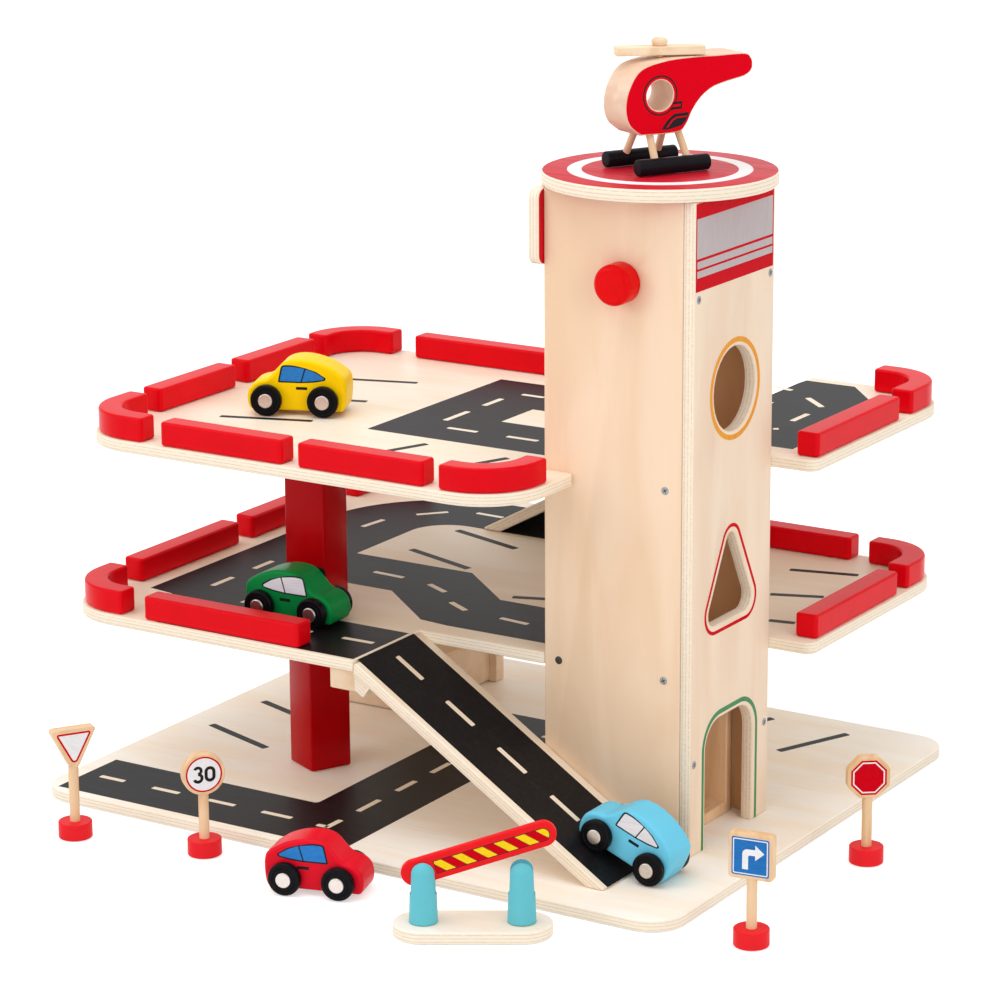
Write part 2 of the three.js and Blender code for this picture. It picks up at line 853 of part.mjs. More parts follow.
function helicopterSkid(side) {
  const rim = skidRadius - skidEase;
  const skid = revolve([
    [0, 0], [rim, 0], [skidRadius, skidEase],
    [skidRadius, skidLength - skidEase], [rim, skidLength], [0, skidLength],
  ], wheelSteps).rotateY(Math.PI / 2);
  skid.translate(-skidLength / 2, side * skidSpread / 2, skidRadius);
  const top = helicopterRide - fitGap;
  const struts = [-1, 1].map((end) => {
    const head = new THREE.Vector3(end * strutPitch / 2, side * strutSpread / 2, top + strutRadius);
    const foot = new THREE.Vector3(end * (strutPitch / 2 + strutSplay), side * skidSpread / 2, skidRadius);
    const along = head.clone().sub(foot);
    const strut = cylinder(strutRadius, along.length(), thinSteps);
    strut.applyQuaternion(new THREE.Quaternion().setFromUnitVectors(new THREE.Vector3(0, 0, 1), along.normalize()));
    return strut.translate(foot.x, foot.y, foot.z);
  });
  const lid = board(rectangle(-skidLength, -skidSpread, skidLength, skidSpread), helicopterRide, 0).translate(0, 0, top);
  return cut(joined(skid, ...struts), lid);
}

// Barrier, along X with the arm's pivot post at the left.
function barrierBase() {
  const half = { x: barrierLength / 2, y: barrierDepth / 2 };
  return board(rectangle(-half.x, -half.y, half.x, half.y, half.y - easedEdge), ply);
}

function barrierPost(across, withPin) {
  const slotFloor = barrierPostHeight - barrierSlotDepth;
  const shoulder = barrierPostHeight - barrierPostTop;
  const body = revolve([
    [0, 0],
    [barrierPostFoot, 0],
    [barrierPostTop, shoulder],
    ...quarterRound(barrierPostTop, barrierPostHeight, barrierPostTop, cornerSteps + 1).slice(1),
  ], footSteps);
  const half = barrierSlotWidth / 2;
  const slot = board(rectangle(-2 * barrierPostFoot, -half, 2 * barrierPostFoot, half), barrierPostHeight, 0);
  const slotted = cut(body, slot.translate(0, 0, slotFloor));
  const seat = ply + fitGap;
  if (!withPin) return slotted.translate(across, 0, seat);
  const pin = cylinder(armPinRadius, barrierPostTop).rotateX(-Math.PI / 2);
  pin.translate(0, -barrierPostTop / 2, armPivotUp);
  return joined(slotted, pin).translate(across, 0, seat);
}

function barrierArm(across) {
  const half = armWidth / 2;
  const shape = rectangle(-armTailLength, -half, armLength - armTailLength, half, half - easedEdge);
  shape.holes.push(circle(0, 0, boreRadius(armPinRadius, runningGap, wheelSteps), wheelSteps));
  const arm = standAlongX(board(shape, armThickness, armEdge), armThickness);
  arm.translate(0, -armThickness / 2, 0).rotateY(-THREE.MathUtils.degToRad(armTilt));
  return arm.translate(across, 0, ply + fitGap + armPivotUp);
}

// Road signs: a round foot, a dowel and a plate, glued into one piece.
function roadSign(plate, plateUnder) {
  const rim = signBaseRadius - easedEdge;
  const foot = revolve([
    [0, 0], [rim, 0], [signBaseRadius, easedEdge],
    [signBaseRadius, signBaseHeight - easedEdge], [rim, signBaseHeight], [0, signBaseHeight],
  ], footSteps);
  const seat = signBaseHeight / 2;
  const dowel = cylinder(signPostRadius, plateUnder + signTenon - seat).translate(0, 0, seat);
  const standing = standAlongX(board(plate, signPlate, signEdge), signPlate);
  return joined(foot, dowel, standing.translate(0, -signPlate / 2, plateUnder));
}

const triangleSign = { width: 38, height: 38, corner: 2.5, under: 50 };
const roundSign = { radius: 16.5, under: 48 };
const squareSign = { width: 33, height: 34, corner: 2.5, under: 50 };
const octagonSign = { radius: 17.5, sides: 8, corner: 4.4, under: 51.5 };

function trianglePlate() {
  const { width, height, corner } = triangleSign;
  return outline([[0, 0, 2 * corner], [width / 2, height, corner], [-width / 2, height, corner]]);
}

function roundPlate() {
  return circle(0, roundSign.radius, roundSign.radius, footSteps);
}

function squarePlate() {
  const { width, height, corner } = squareSign;
  return rectangle(-width / 2, 0, width / 2, height, corner);
}

function octagonPlate() {
  const { radius, sides, corner } = octagonSign;
  const rise = radius * Math.cos(Math.PI / sides);
  const corners = [];
  for (let i = 0; i < sides; i += 1) {
    const angle = ((i + 1 / 2) / sides) * 2 * Math.PI;
    corners.push([radius * Math.cos(angle), rise + radius * Math.sin(angle), corner]);
  }
  return outline(corners);
}

// The garage
plan.add(
  piece('base_board', baseBoard(), 'birch'),
  piece('mid_deck', midDeck(), 'birch'),
  piece('upper_deck', upperDeck(), 'birch'),
  piece('tower_front_panel', frontPanel(), 'birch'),
  piece('tower_right_panel', rightPanel(), 'birch'),
  piece('tower_back_panel', backPanel(), 'birch'),
  piece('left_sign_board', leftSignBoard(), 'red'),
  piece('helipad_disc', helipadDisc(), 'red'),
  piece('lower_post', post(0, midUnder, lowerPostTurn), 'darkRed'),
  piece('upper_post', post(midTop, upperUnder, upperPostTurn), 'darkRed'),
  piece('rear_support', rearSupport(), 'birch'),
  piece('lower_ramp', lowerRamp(), 'birch'),
  piece('ramp_cleat', rampCleat(), 'beech'),
  piece('upper_ramp', upperRamp(), 'birch'),
  piece('lift_cabin', liftCabin(), 'birch'),
  piece('lift_cord', liftCord(), 'cord'),
  piece('lift_spindle', liftSpindle(), 'beech'),
  piece('lift_knob', liftKnob(), 'red'),
  ...railsOf(midRailShares),
  ...railsOf(upperRailShares),
);

// The loose toys, where the set is shown with them: cars on the decks from an edge of
// their deck, and what stands on the floor from the base board's front or right edge
const cars = {
  yellow: { length: 80, height: 41.5, overhang: 16.5, wheelbase: 45.5 },
  green: { length: 79.5, height: 38.5, overhang: 15.5, wheelbase: 48 },
  red: { length: 76.5, height: 39.2, overhang: 18, wheelbase: 41 },
  blue: { length: 79, height: 40.5, overhang: 18, wheelbase: 47.5 },
};
const yellowPlace = { x: 91.7 - upperLeft, y: 45.6, z: upperTop + fitGap, turn: 22.4 };
const greenPlace = { x: -rampJoint - 71.5, y: -24.4, z: midTop + fitGap, turn: 182.5 };
const redPlace = { x: -194.5, y: -baseFrontMargin - 41.9, z: -ply, turn: 196 };
plan.add(
  car('yellow_car', 'yellow', cars.yellow, yellowPlace),
  car('green_car', 'green', cars.green, greenPlace),
  car('red_car', 'red', cars.red, redPlace),
  car('blue_car', 'blue', cars.blue, placeAtRampFoot(cars.blue, rearWheelBeyondFoot)),
);

// Other loose toys stand at shares of the base board from the tower's foot.
function onBase(xShare, yShare) {
  return { x: xShare * baseLength, y: yShare * baseDepth };
}

const helicopter = grouped(
  piece('helicopter_body', helicopterBody(), 'red'),
  piece('helicopter_rotor', helicopterRotor(), 'beech'),
  piece('helicopter_left_skid', helicopterSkid(1), 'black'),
  piece('helicopter_right_skid', helicopterSkid(-1), 'black'),
);
const helicopterPlace = { ...onBase(-0.1154, 0.1241), turn: 61.65 };
helicopter.position.set(helicopterPlace.x, helicopterPlace.y, towerHeight + discThickness + 2 * fitGap);
helicopter.rotation.z = THREE.MathUtils.degToRad(helicopterPlace.turn);
plan.add(helicopter);

const pivotAcross = -barrierPostSpacing / 2;
const barrier = grouped(
  piece('barrier_base', barrierBase(), 'birch'),
  piece('barrier_pivot_post', barrierPost(pivotAcross, true), 'turquoise'),
  piece('barrier_rest_post', barrierPost(-pivotAcross, false), 'turquoise'),
  piece('barrier_arm', barrierArm(pivotAcross), 'red'),
);
const barrierPlace = { ...onBase(-0.1248, -0.4005), turn: 31.3 };
barrier.position.set(barrierPlace.x, barrierPlace.y, -ply);
barrier.rotation.z = THREE.MathUtils.degToRad(barrierPlace.turn);
plan.add(barrier);

const signs = [
  ['triangle_sign', trianglePlate(), triangleSign, onBase(-0.767, -0.383), 57],
  ['round_sign', roundPlate(), roundSign, onBase(-0.579, -0.338), 50],
  ['square_sign', squarePlate(), squareSign, onBase(0.1895, -0.222), 8],
  ['octagon_sign', octagonPlate(), octagonSign, onBase(0.1825, 0.1776), 38],
];
signs.forEach(([name, plate, { under }, { x, y }, turn]) => {
  const sign = piece(name, roadSign(plate, under), 'red');
  sign.position.set(x, y, -ply);
  sign.rotation.z = THREE.MathUtils.degToRad(turn);
  plan.add(sign);
});

const group = new THREE.Group();
group.add(plan);
export default group;
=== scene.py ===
"""The looks of a wooden toy parking garage with a crank lift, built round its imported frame.

Sizes are in millimetres in the plan frame of the CAD source: X = 0 is the tower's right
face, Y = 0 its front face and Z = 0 the top of the base board. PLAN turns them into the
row frame in metres. Places of pieces come from the boxes of the CAD nodes they dress.
"""

from math import acos, atan2, ceil, copysign, cos, degrees, pi, radians, sin, tan

import bmesh
import bpy
from mathutils import Matrix, Vector
from mathutils.geometry import tessellate_polygon


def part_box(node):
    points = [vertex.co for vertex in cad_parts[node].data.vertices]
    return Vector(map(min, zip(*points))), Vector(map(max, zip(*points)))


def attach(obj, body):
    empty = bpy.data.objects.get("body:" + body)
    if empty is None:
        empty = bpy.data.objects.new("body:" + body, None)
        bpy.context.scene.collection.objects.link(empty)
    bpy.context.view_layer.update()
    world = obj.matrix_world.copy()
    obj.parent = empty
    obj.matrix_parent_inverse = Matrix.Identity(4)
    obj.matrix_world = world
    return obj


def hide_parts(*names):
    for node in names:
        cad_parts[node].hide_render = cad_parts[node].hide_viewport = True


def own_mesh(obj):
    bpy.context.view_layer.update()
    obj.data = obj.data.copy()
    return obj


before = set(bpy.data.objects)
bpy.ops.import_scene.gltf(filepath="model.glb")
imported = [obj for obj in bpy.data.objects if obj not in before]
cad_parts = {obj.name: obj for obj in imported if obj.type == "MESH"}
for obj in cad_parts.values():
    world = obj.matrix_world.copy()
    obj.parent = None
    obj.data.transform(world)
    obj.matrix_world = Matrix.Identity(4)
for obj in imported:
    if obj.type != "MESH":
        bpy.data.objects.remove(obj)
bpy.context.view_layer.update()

MM = 0.001
PLAN = Matrix.Scale(MM, 4) @ Matrix.Translation((234, -109.5, 9))
PLAN_INVERSE = PLAN.inverted()

# Board sizes that the prints lie on
PLY = 9
MID_TOP = 140
UPPER_TOP = 283
RAMP_RUN = 220
RAMP_WIDTH = 91
LOWER_RAMP_START = -238.7
LOWER_RAMP_EDGE = -91.5
UPPER_RAMP_START = -352.6
UPPER_RAMP_END = -92.3
UPPER_RAMP_EDGE = 267.5
RAMP_FOOT = 0.3

# Prints are thin films of ink: how far they lie off the board, how thick they are and how
# much higher a print on another print lies
INK_GAP = 0.01
INK = 0.05
LAYER = INK * 0.8
LINE_WIDTH = 7
UPPER_LINE_WIDTH = 6.4
DASH_WIDTH = 5

# Curve resolution
ARC_STEP = radians(4)
ROUND_STEPS = 64
EASE_STEPS = 4

# Edges between faces that turn by more degrees than this stay sharp
SHARP_FROM = 40


# Outlines in two dimensions

def cross(a, b):
    return a.x * b.y - a.y * b.x


def turned(vector, angle):
    c, s = cos(angle), sin(angle)
    return Vector((vector.x * c - vector.y * s, vector.x * s + vector.y * c))


def outline(corners, step=ARC_STEP):
    """A closed outline through corners (x, y) or (x, y, radius)."""
    points = []
    for i, corner in enumerate(corners):
        here = Vector(corner[:2])
        radius = corner[2] if len(corner) > 2 else 0
        if radius == 0:
            points.append(here)
            continue
        before = (Vector(corners[i - 1][:2]) - here).normalized()
        after = (Vector(corners[(i + 1) % len(corners)][:2]) - here).normalized()
        half = acos(max(-1, min(1, before.dot(after)))) / 2
        sweep = (pi - 2 * half) * (-1 if cross(before, after) > 0 else 1)
        centre = here + (before + after).normalized() * radius / sin(half)
        start = here + before * radius / tan(half)
        steps = max(2, ceil(abs(sweep) / step))
        points += [centre + turned(start - centre, sweep * k / steps) for k in range(steps + 1)]
    return points


def circle(x, y, radius, steps=ROUND_STEPS):
    angles = [2 * pi * k / steps for k in range(steps)]
    return [Vector((x + radius * cos(a), y + radius * sin(a))) for a in angles]


def rectangle(x0, y0, x1, y1, radius=0):
    return outline([(x0, y0, radius), (x1, y0, radius), (x1, y1, radius), (x0, y1, radius)])


def stroke(x0, y0, x1, y1, width, round_share=0.2):
    """A straight mark of ink from one point to another, with slightly rounded ends."""
    start, end = Vector((x0, y0)), Vector((x1, y1))
    along = (end - start).normalized()
    side = Vector((-along.y, along.x)) * width / 2
    corners = [start - side, end - side, end + side, start + side]
    return outline([(p.x, p.y, width * round_share) for p in corners], radians(20))


def spline(points, steps=8):
    """The points of a smooth open curve through the given ones."""
    found = []
    for i in range(len(points) - 1):
        p1, p2 = Vector(points[i]), Vector(points[i + 1])
        p0 = Vector(points[i - 1]) if i else p1
        p3 = Vector(points[i + 2]) if i + 2 < len(points) else p2
        for k in range(steps):
            t = k / steps
            a, b = (p2 - p0) / 2, (p3 - p1) / 2
            found.append(
                p1 + a * t + (3 * (p2 - p1) - 2 * a - b) * t ** 2 + (2 * (p1 - p2) + a + b) * t ** 3
            )
    return found + [Vector(points[-1])]


def bezier(start, control, end, steps=8):
    start, control, end = Vector(start), Vector(control), Vector(end)
    found = []
    for k in range(steps):
        t = k / steps
        found.append(start * (1 - t) ** 2 + control * 2 * t * (1 - t) + end * t ** 2)
    return found


def counterclockwise(points):
    area = sum(cross(a, b) for a, b in zip(points, points[1:] + points[:1]))
    return points if area > 0 else points[::-1]


def without_repeats(points, least=1e-4):
    kept = [p for i, p in enumerate(points) if (p - points[i - 1]).length > least]
    return kept or points


def inset(points, distance):
    """The outline moved towards its left side, which is inwards for a counterclockwise one."""
    moved = []
    for i, here in enumerate(points):
        a = (here - points[i - 1]).normalized()
        b = (points[(i + 1) % len(points)] - here).normalized()
        na, nb = Vector((-a.y, a.x)), Vector((-b.y, b.x))
        moved.append(here + (na + nb) * distance / max(0.3, 1 + na.dot(nb)))
    return moved


# Solids as (points, faces)

def slab(outer, thickness, ease=0.0, holes=(), steps=EASE_STEPS):
    """A board from Z = 0 up whose edges, round its holes too, are rounded by ease."""
    loops = [counterclockwise(without_repeats(outer))]
    loops += [counterclockwise(without_repeats(hole))[::-1] for hole in holes]
    if ease:
        angles = [pi / 2 * k / steps for k in range(steps + 1)]
        foot = [(ease * (1 - sin(a)), ease * (1 - cos(a))) for a in angles]
        levels = foot + [(off, thickness - z) for off, z in reversed(foot)]
    else:
        levels = [(0, 0), (0, thickness)]
    points, faces, caps = [], [], ([], [])
    for loop in loops:
        first, count = len(points), len(loop)
        for off, z in levels:
            points += [Vector((p.x, p.y, z)) for p in (inset(loop, off) if off else loop)]
        for level in range(len(levels) - 1):
            for k in range(count):
                a = first + level * count + k
                b = first + level * count + (k + 1) % count
                faces.append((a, b, b + count, a + count))
        last = first + (len(levels) - 1) * count
        caps[0].append(list(range(first, first + count)))
        caps[1].append(list(range(last, last + count)))
    for cap in caps:
        order = [i for loop in cap for i in loop]
        flat = [[Vector((points[i].x, points[i].y, 0)) for i in loop] for loop in cap]
        faces += [tuple(order[i] for i in triangle) for triangle in tessellate_polygon(flat)]
    return points, faces


def revolve(profile, steps=ROUND_STEPS):
    """A round solid about Z from (radius, height) points that start and end on the axis."""
    points, rings = [], []
    for radius, height in profile:
        if radius < 1e-6:
            rings.append([len(points)])
            points.append(Vector((0, 0, height)))
        else:
            rings.append(list(range(len(points), len(points) + steps)))
            points += [Vector((p.x, p.y, height)) for p in circle(0, 0, radius, steps)]
    faces = []
    for low, high in zip(rings, rings[1:]):
        for k in range(steps):
            a, b = low[k % len(low)], low[(k + 1) % len(low)]
            c, d = high[(k + 1) % len(high)], high[k % len(high)]
            face = tuple(dict.fromkeys((a, b, c, d)))
            if len(face) > 2:
                faces.append(face)
    return points, faces


def fillet(radius, height, size, steps=6, sign=1):
    """Profile points of a quarter round between a side at radius and an end at height."""
    angles = [pi / 2 * k / steps for k in range(steps + 1)]
    if sign < 0:
        angles.reverse()
    return [
        (radius - size + size * cos(a), height + sign * (size * sin(a) - size))
        for a in angles
    ]


def round_bar(radius, length, ease, steps=ROUND_STEPS):
    foot = fillet(radius, 0, ease, sign=-1)
    return revolve([(0, 0), *foot, *fillet(radius, length, ease), (0, length)], steps)


def at(x, y, z, turn=0.0):
    return Matrix.Translation((x, y, z)) @ Matrix.Rotation(radians(turn), 4, "Z")


def facing(origin, x_axis, y_axis, z_axis):
    """The frame at origin with the three given axes."""
    return at(*origin) @ Matrix((x_axis, y_axis, z_axis)).transposed().to_4x4()


# STAND_X turns what is drawn in (X, Z) upright, with its thickness along -Y, and STAND_Y
# what is drawn in (Y, Z), with its thickness along +X. AIM_X and AIM_Y point what is
# drawn along +Z that way.
STAND_X = Matrix.Rotation(pi / 2, 4, "X")
STAND_Y = Matrix.Rotation(pi / 2, 4, "Z") @ STAND_X
AIM_X = Matrix.Rotation(pi / 2, 4, "Y")
AIM_Y = Matrix.Rotation(-pi / 2, 4, "X")
UP = Vector((0, 0, 1))


def beside(place, side, half_width, x=0.0, z=0.0):
    """Where a print lies on the side of a piece, and how one that lies on it is lifted."""
    out = side * (half_width + INK_GAP) + (INK if side > 0 else 0)
    return place @ at(x, out, z) @ STAND_X, at(0, 0, -side * LAYER)


def closed_mesh(name, shells, smooth=False):
    """A mesh of closed shells, each (points, faces), place and material number."""
    mesh = bpy.data.meshes.new(name)
    work = bmesh.new()
    for (points, faces), place, number in shells:
        matrix = PLAN @ place
        verts = [work.verts.new(matrix @ p) for p in points]
        made = [work.faces.new([verts[i] for i in face]) for face in faces]
        for face in made:
            face.material_index = number
            face.smooth = smooth
        bmesh.ops.recalc_face_normals(work, faces=made)
    work.to_mesh(mesh)
    work.free()
    return mesh


def linked(name, data):
    """A new object, linked to the scene."""
    made = bpy.data.objects.new(name, data)
    bpy.context.scene.collection.objects.link(made)
    return made


def modify(piece, name, kind, **settings):
    """A new modifier on a piece."""
    modifier = piece.modifiers.new(name, kind)
    for key, value in settings.items():
        setattr(modifier, key, value)


def shade(piece, least):
    """Marks edges of at least so many degrees as sharp and evens the normals between them."""
    piece.data.set_sharp_from_angle(angle=radians(least))
    modify(piece, "Even", "WEIGHTED_NORMAL", keep_sharp=True)


def make(name, shells, materials, body, stands_for=(), smooth=SHARP_FROM):
    """A piece of one or more closed shells that rides a body."""
    piece = linked(name, closed_mesh(name, shells, smooth > 0))
    for material in materials:
        piece.data.materials.append(material)
    if smooth > 0:
        shade(piece, smooth)
    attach(piece, body)
    if stands_for:
        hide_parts(*stands_for)
    return piece


def dress(node, finish, shape, place, material, body, smooth=SHARP_FROM):
    """One closed shell in the place of a CAD node, named for the node and its finish."""
    return make(f"{node}_{finish}", [(shape, place, 0)], [material], body, [node], smooth)


def plan_box(node):
    low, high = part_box(node)
    return PLAN_INVERSE @ low, PLAN_INVERSE @ high


def plan_centre(node):
    low, high = plan_box(node)
    return (low + high) / 2


# Materials

def srgb(red, green, blue):
    def linear(value):
        value /= 255
        return value / 12.92 if value <= 0.04045 else ((value + 0.055) / 1.055) ** 2.4
    return (linear(red), linear(green), linear(blue), 1.0)


def add_node(tree, kind, inputs=None, **settings):
    """A new node, whose inputs are given as sockets to link or as values."""
    node = tree.nodes.new(kind)
    for key, value in settings.items():
        setattr(node, key, value)
    for key, value in (inputs or {}).items():
        if isinstance(value, bpy.types.NodeSocket):
            tree.links.new(value, node.inputs[key])
        else:
            node.inputs[key].default_value = value
    return node


class Look:
    """A node material under construction, with its coordinates in the object's own frame."""

    def __init__(self, name, roughness=0.4, **settings):
        self.material = bpy.data.materials.new(name)
        self.material.use_nodes = True
        self.tree = self.material.node_tree
        self.shader = self.tree.nodes["Principled BSDF"]
        self.shader.inputs["Roughness"].default_value = roughness
        for key, value in settings.items():
            self.shader.inputs[key.replace("_", " ")].default_value = value
        coordinates = self.add("ShaderNodeTexCoord")
        self.place = coordinates.outputs["Object"]
        self.normal = coordinates.outputs["Normal"]

    def add(self, kind, inputs=None, **settings):
        return add_node(self.tree, kind, inputs, **settings)

    def math(self, operation, a, b=0.0):
        return self.add("ShaderNodeMath", {0: a, 1: b}, operation=operation).outputs[0]

    def vector(self, operation, a, b, output="Vector"):
        node = self.add("ShaderNodeVectorMath", {0: a, 1: b}, operation=operation)
        return node.outputs[output]

    def scaled(self, scale):
        return self.vector("MULTIPLY", self.place, scale)

    def dot(self, vector, axis):
        return self.vector("DOT_PRODUCT", vector, axis, "Value")

    def distance(self, point, scale):
        target = tuple(p * s for p, s in zip(point, scale))
        return self.vector("DISTANCE", self.scaled(scale), target, "Value")

    def noise(self, stretch, detail=3.0, roughness=0.5, distortion=0.0):
        inputs = {
            "Vector": self.scaled(stretch), "Scale": 1.0, "Detail": detail,
            "Roughness": roughness, "Distortion": distortion,
        }
        return self.add("ShaderNodeTexNoise", inputs).outputs[0]

    def step(self, value, low, high, to_low=0.0, to_high=1.0):
        inputs = {"Value": value, "From Min": low, "From Max": high, "To Min": to_low, "To Max": to_high}
        node = self.add("ShaderNodeMapRange", inputs, interpolation_type="SMOOTHSTEP")
        return node.outputs[0]

    def mix(self, share, a, b):
        inputs = {0: share, 6: a, 7: b}
        return self.add("ShaderNodeMix", inputs, data_type="RGBA").outputs[2]

    def over(self, colour, other, value, low, high, most=1.0):
        """A colour with the other one over it, from none of it at low to the most at high."""
        return self.mix(self.step(value, low, high, 0, most), colour, other)

    def finish(self, colour, height=None, bump=0.1, depth=0.0002, roughness=None):
        self.tree.links.new(colour, self.shader.inputs["Base Color"])
        if roughness is not None:
            self.tree.links.new(roughness, self.shader.inputs["Roughness"])
        if height is not None:
            relief = self.add("ShaderNodeBump", {"Height": height, "Strength": bump, "Distance": depth})
            self.tree.links.new(relief.outputs[0], self.shader.inputs["Normal"])
        return self.material


AXES = {"X": (1, 0, 0), "Y": (0, 1, 0), "Z": (0, 0, 1)}
BIRCH_LIGHT = srgb(248, 235, 216)
BIRCH_DARK = srgb(244, 226, 201)
BIRCH_PORE = srgb(234, 206, 174)
BIRCH_EDGE = srgb(248, 236, 216)
BIRCH_LINE = srgb(222, 194, 158)
# Darker, browner wood for the inner faces of the tower's panels: painted shade inside the tower
INNER_SHADE_LIGHT = srgb(224, 180, 136)
INNER_SHADE_DARK = srgb(208, 162, 116)

# Glue lines through a board's edge, where the first one lies, and how soft a printed ring ends
PLY_LAYERS = 3.5
PLY_SHIFT = 0.75
RING_BLUR = 0.0002


def grain_of(look, grain, fine=420, coarse=26, along=5):
    """Streaks that run along the grain's axis: fine pores and a broad figure."""
    stretch = [fine if axis != grain else along * 3 for axis in "XYZ"]
    broad = [coarse if axis != grain else along for axis in "XYZ"]
    streaks = look.noise(stretch, detail=4, roughness=0.6)
    figure = look.noise(broad, detail=3, roughness=0.45, distortion=0.6)
    return streaks, figure


def darker(colour, share):
    return tuple(c * share for c in colour[:3]) + (1,)


def plywood(
    name, axis, start, grain, thickness=PLY, light=BIRCH_LIGHT, dark=BIRCH_DARK, face=None,
    ring=None, inside=None,
):
    """Lacquered birch ply: grain on its faces and layers on its edges.

    axis is the direction through the board as a vector, start the place of its first face
    along that axis in metres. face prints the board's faces in a colour, and ring adds
    (centre, inner radius, outer radius, colour) to that print. The last argument is the way
    that a panel's inner face looks; that face is drawn darker and browner, as painted shade.
    """
    look = Look(name, roughness=0.45, Specular_IOR_Level=0.15)
    streaks, figure = grain_of(look, grain)
    colour = look.over(light, dark, figure, 0.36, 0.66)
    colour = look.over(colour, BIRCH_PORE, streaks, 0.52, 0.8, 0.3)
    patches = look.noise((60, 60, 60), detail=2)
    colour = look.over(colour, light, patches, 0.62, 0.75, 0.12)
    depth = look.math("DIVIDE", look.math("SUBTRACT", look.dot(look.place, axis), start), thickness * MM)
    cycle = look.math("FRACT", look.math("ADD", look.math("MULTIPLY", depth, PLY_LAYERS), PLY_SHIFT))
    off_line = look.math("ABSOLUTE", look.math("SUBTRACT", cycle, 0.5))
    break_up = look.noise((300, 300, 700), detail=3)
    line = look.math(
        "MULTIPLY", look.step(off_line, 0.08, 0.2, 1, 0), look.step(break_up, 0.3, 0.6, 0.2, 0.65),
    )
    veneer = look.over(BIRCH_EDGE, light, break_up, 0.35, 0.7, 0.5)
    edge = look.mix(line, veneer, BIRCH_LINE)
    facing = look.math("ABSOLUTE", look.dot(look.normal, axis))
    # The inner face takes the darker, browner colours, which are painted shade inside the tower
    if inside:
        bare = look.over(INNER_SHADE_LIGHT, INNER_SHADE_DARK, figure, 0.36, 0.66)
        colour = look.mix(look.step(look.dot(look.normal, inside), 0.8, 0.9), colour, bare)
    if face:
        printed = look.over(face, darker(face, 0.82), streaks, 0.35, 0.75)
        if ring:
            centre, inner, outer, ring_colour = ring
            from_centre = look.distance(centre, (1, 1, 0))
            band = look.math(
                "MULTIPLY",
                look.step(from_centre, inner - RING_BLUR, inner + RING_BLUR),
                look.step(from_centre, outer - RING_BLUR, outer + RING_BLUR, 1, 0),
            )
            printed = look.mix(band, printed, ring_colour)
        colour = look.over(colour, printed, facing, 0.8, 0.9)
    colour = look.mix(look.step(facing, 0.55, 0.8, 1, 0), colour, edge)
    sheen = look.step(streaks, 0.3, 0.8, 0.36, 0.5)
    return look.finish(colour, streaks, bump=0.12, depth=0.0001, roughness=sheen)


def solid_wood(name, grain, light, dark):
    look = Look(name, roughness=0.45, Specular_IOR_Level=0.25)
    streaks, figure = grain_of(look, grain, fine=650, coarse=70, along=12)
    colour = look.over(light, dark, figure, 0.35, 0.68)
    rays = look.noise((900, 900, 160), detail=1)
    colour = look.over(colour, srgb(190, 146, 98), rays, 0.62, 0.72, 0.14)
    return look.finish(colour, streaks, bump=0.15, depth=0.00012)


def paint(name, colour, roughness=0.28, shade=0.86, mottle=0.2, ripple=0.1, gloss=0.08):
    """Sprayed lacquer over wood: a little mottled, with an orange-peel surface."""
    look = Look(name, roughness=roughness, Specular_IOR_Level=gloss)
    cloud = look.noise((45, 45, 45), detail=4, roughness=0.6)
    speck = look.noise((900, 900, 900), detail=2)
    deep = darker(colour, shade)
    tone = look.over(colour, deep, cloud, 0.35, 0.7, mottle + 0.2)
    tone = look.over(tone, deep, speck, 0.5, 0.8, mottle)
    peel = look.noise((420, 420, 420), detail=3, roughness=0.55)
    return look.finish(tone, peel, bump=ripple, depth=0.0002)


def ink(name, colour, worn, roughness=0.42, grain="X", gloss=0.12):
    """Screen-printed ink, in which the board's grain still shows."""
    look = Look(name, roughness=roughness, Specular_IOR_Level=gloss)
    streaks, figure = grain_of(look, grain, fine=700, coarse=90, along=14)
    tone = look.over(colour, worn, streaks, 0.42, 0.8)
    tone = look.over(tone, worn, figure, 0.5, 0.8, 0.3)
    return look.finish(tone, streaks, bump=0.2, depth=0.00012)


def metal(name, colour, roughness):
    look = Look(name, roughness=roughness, Metallic=1.0)
    brushed = look.noise((1500, 1500, 1500), detail=2)
    tone = look.over(colour, darker(colour, 0.8), brushed, 0.3, 0.7)
    return look.finish(tone, brushed, bump=0.05, depth=0.00005)


red_paint = paint("red paint", srgb(226, 2, 20))
post_paint = paint("dark red paint", srgb(188, 4, 12), roughness=0.26)
turquoise = paint("turquoise paint", srgb(104, 196, 210), roughness=0.4, shade=0.88)
black_paint = paint("black paint", srgb(24, 23, 28), roughness=0.3, shade=0.7)
tyre = paint("tyre", srgb(16, 16, 19), roughness=0.28, shade=0.7, mottle=0.15)
hub_metal = metal("hub metal", (0.72, 0.66, 0.62, 1), 0.3)
screw_metal = metal("screw metal", (0.36, 0.36, 0.38, 1), 0.35)
# Near-black metal: painted shade in the screws' cross recesses, and the head of the one darker screw
dark_metal = metal("screw recess", (0.08, 0.08, 0.085, 1), 0.5)
beech = solid_wood("beech", "X", srgb(247, 224, 194), srgb(233, 202, 166))
beech_upright = solid_wood("beech upright", "Z", srgb(242, 212, 178), srgb(226, 190, 150))
birch_dash = plywood("bare birch", AXES["Z"], 0, "X")
road_ink = ink("road print", srgb(20, 19, 22), srgb(38, 36, 39))
white_ink = ink("white print", srgb(240, 240, 242), srgb(226, 226, 230))
red_ink = ink("red print", srgb(208, 2, 24), srgb(184, 4, 24), gloss=0.03)
bright_red_ink = ink("bright red print", srgb(228, 2, 28), srgb(214, 2, 26), gloss=0.03)
orange_ink = ink("orange print", srgb(236, 158, 46), srgb(214, 138, 36), grain="Z")
green_ink = ink("green print", srgb(66, 140, 88), srgb(50, 118, 70), grain="Z")
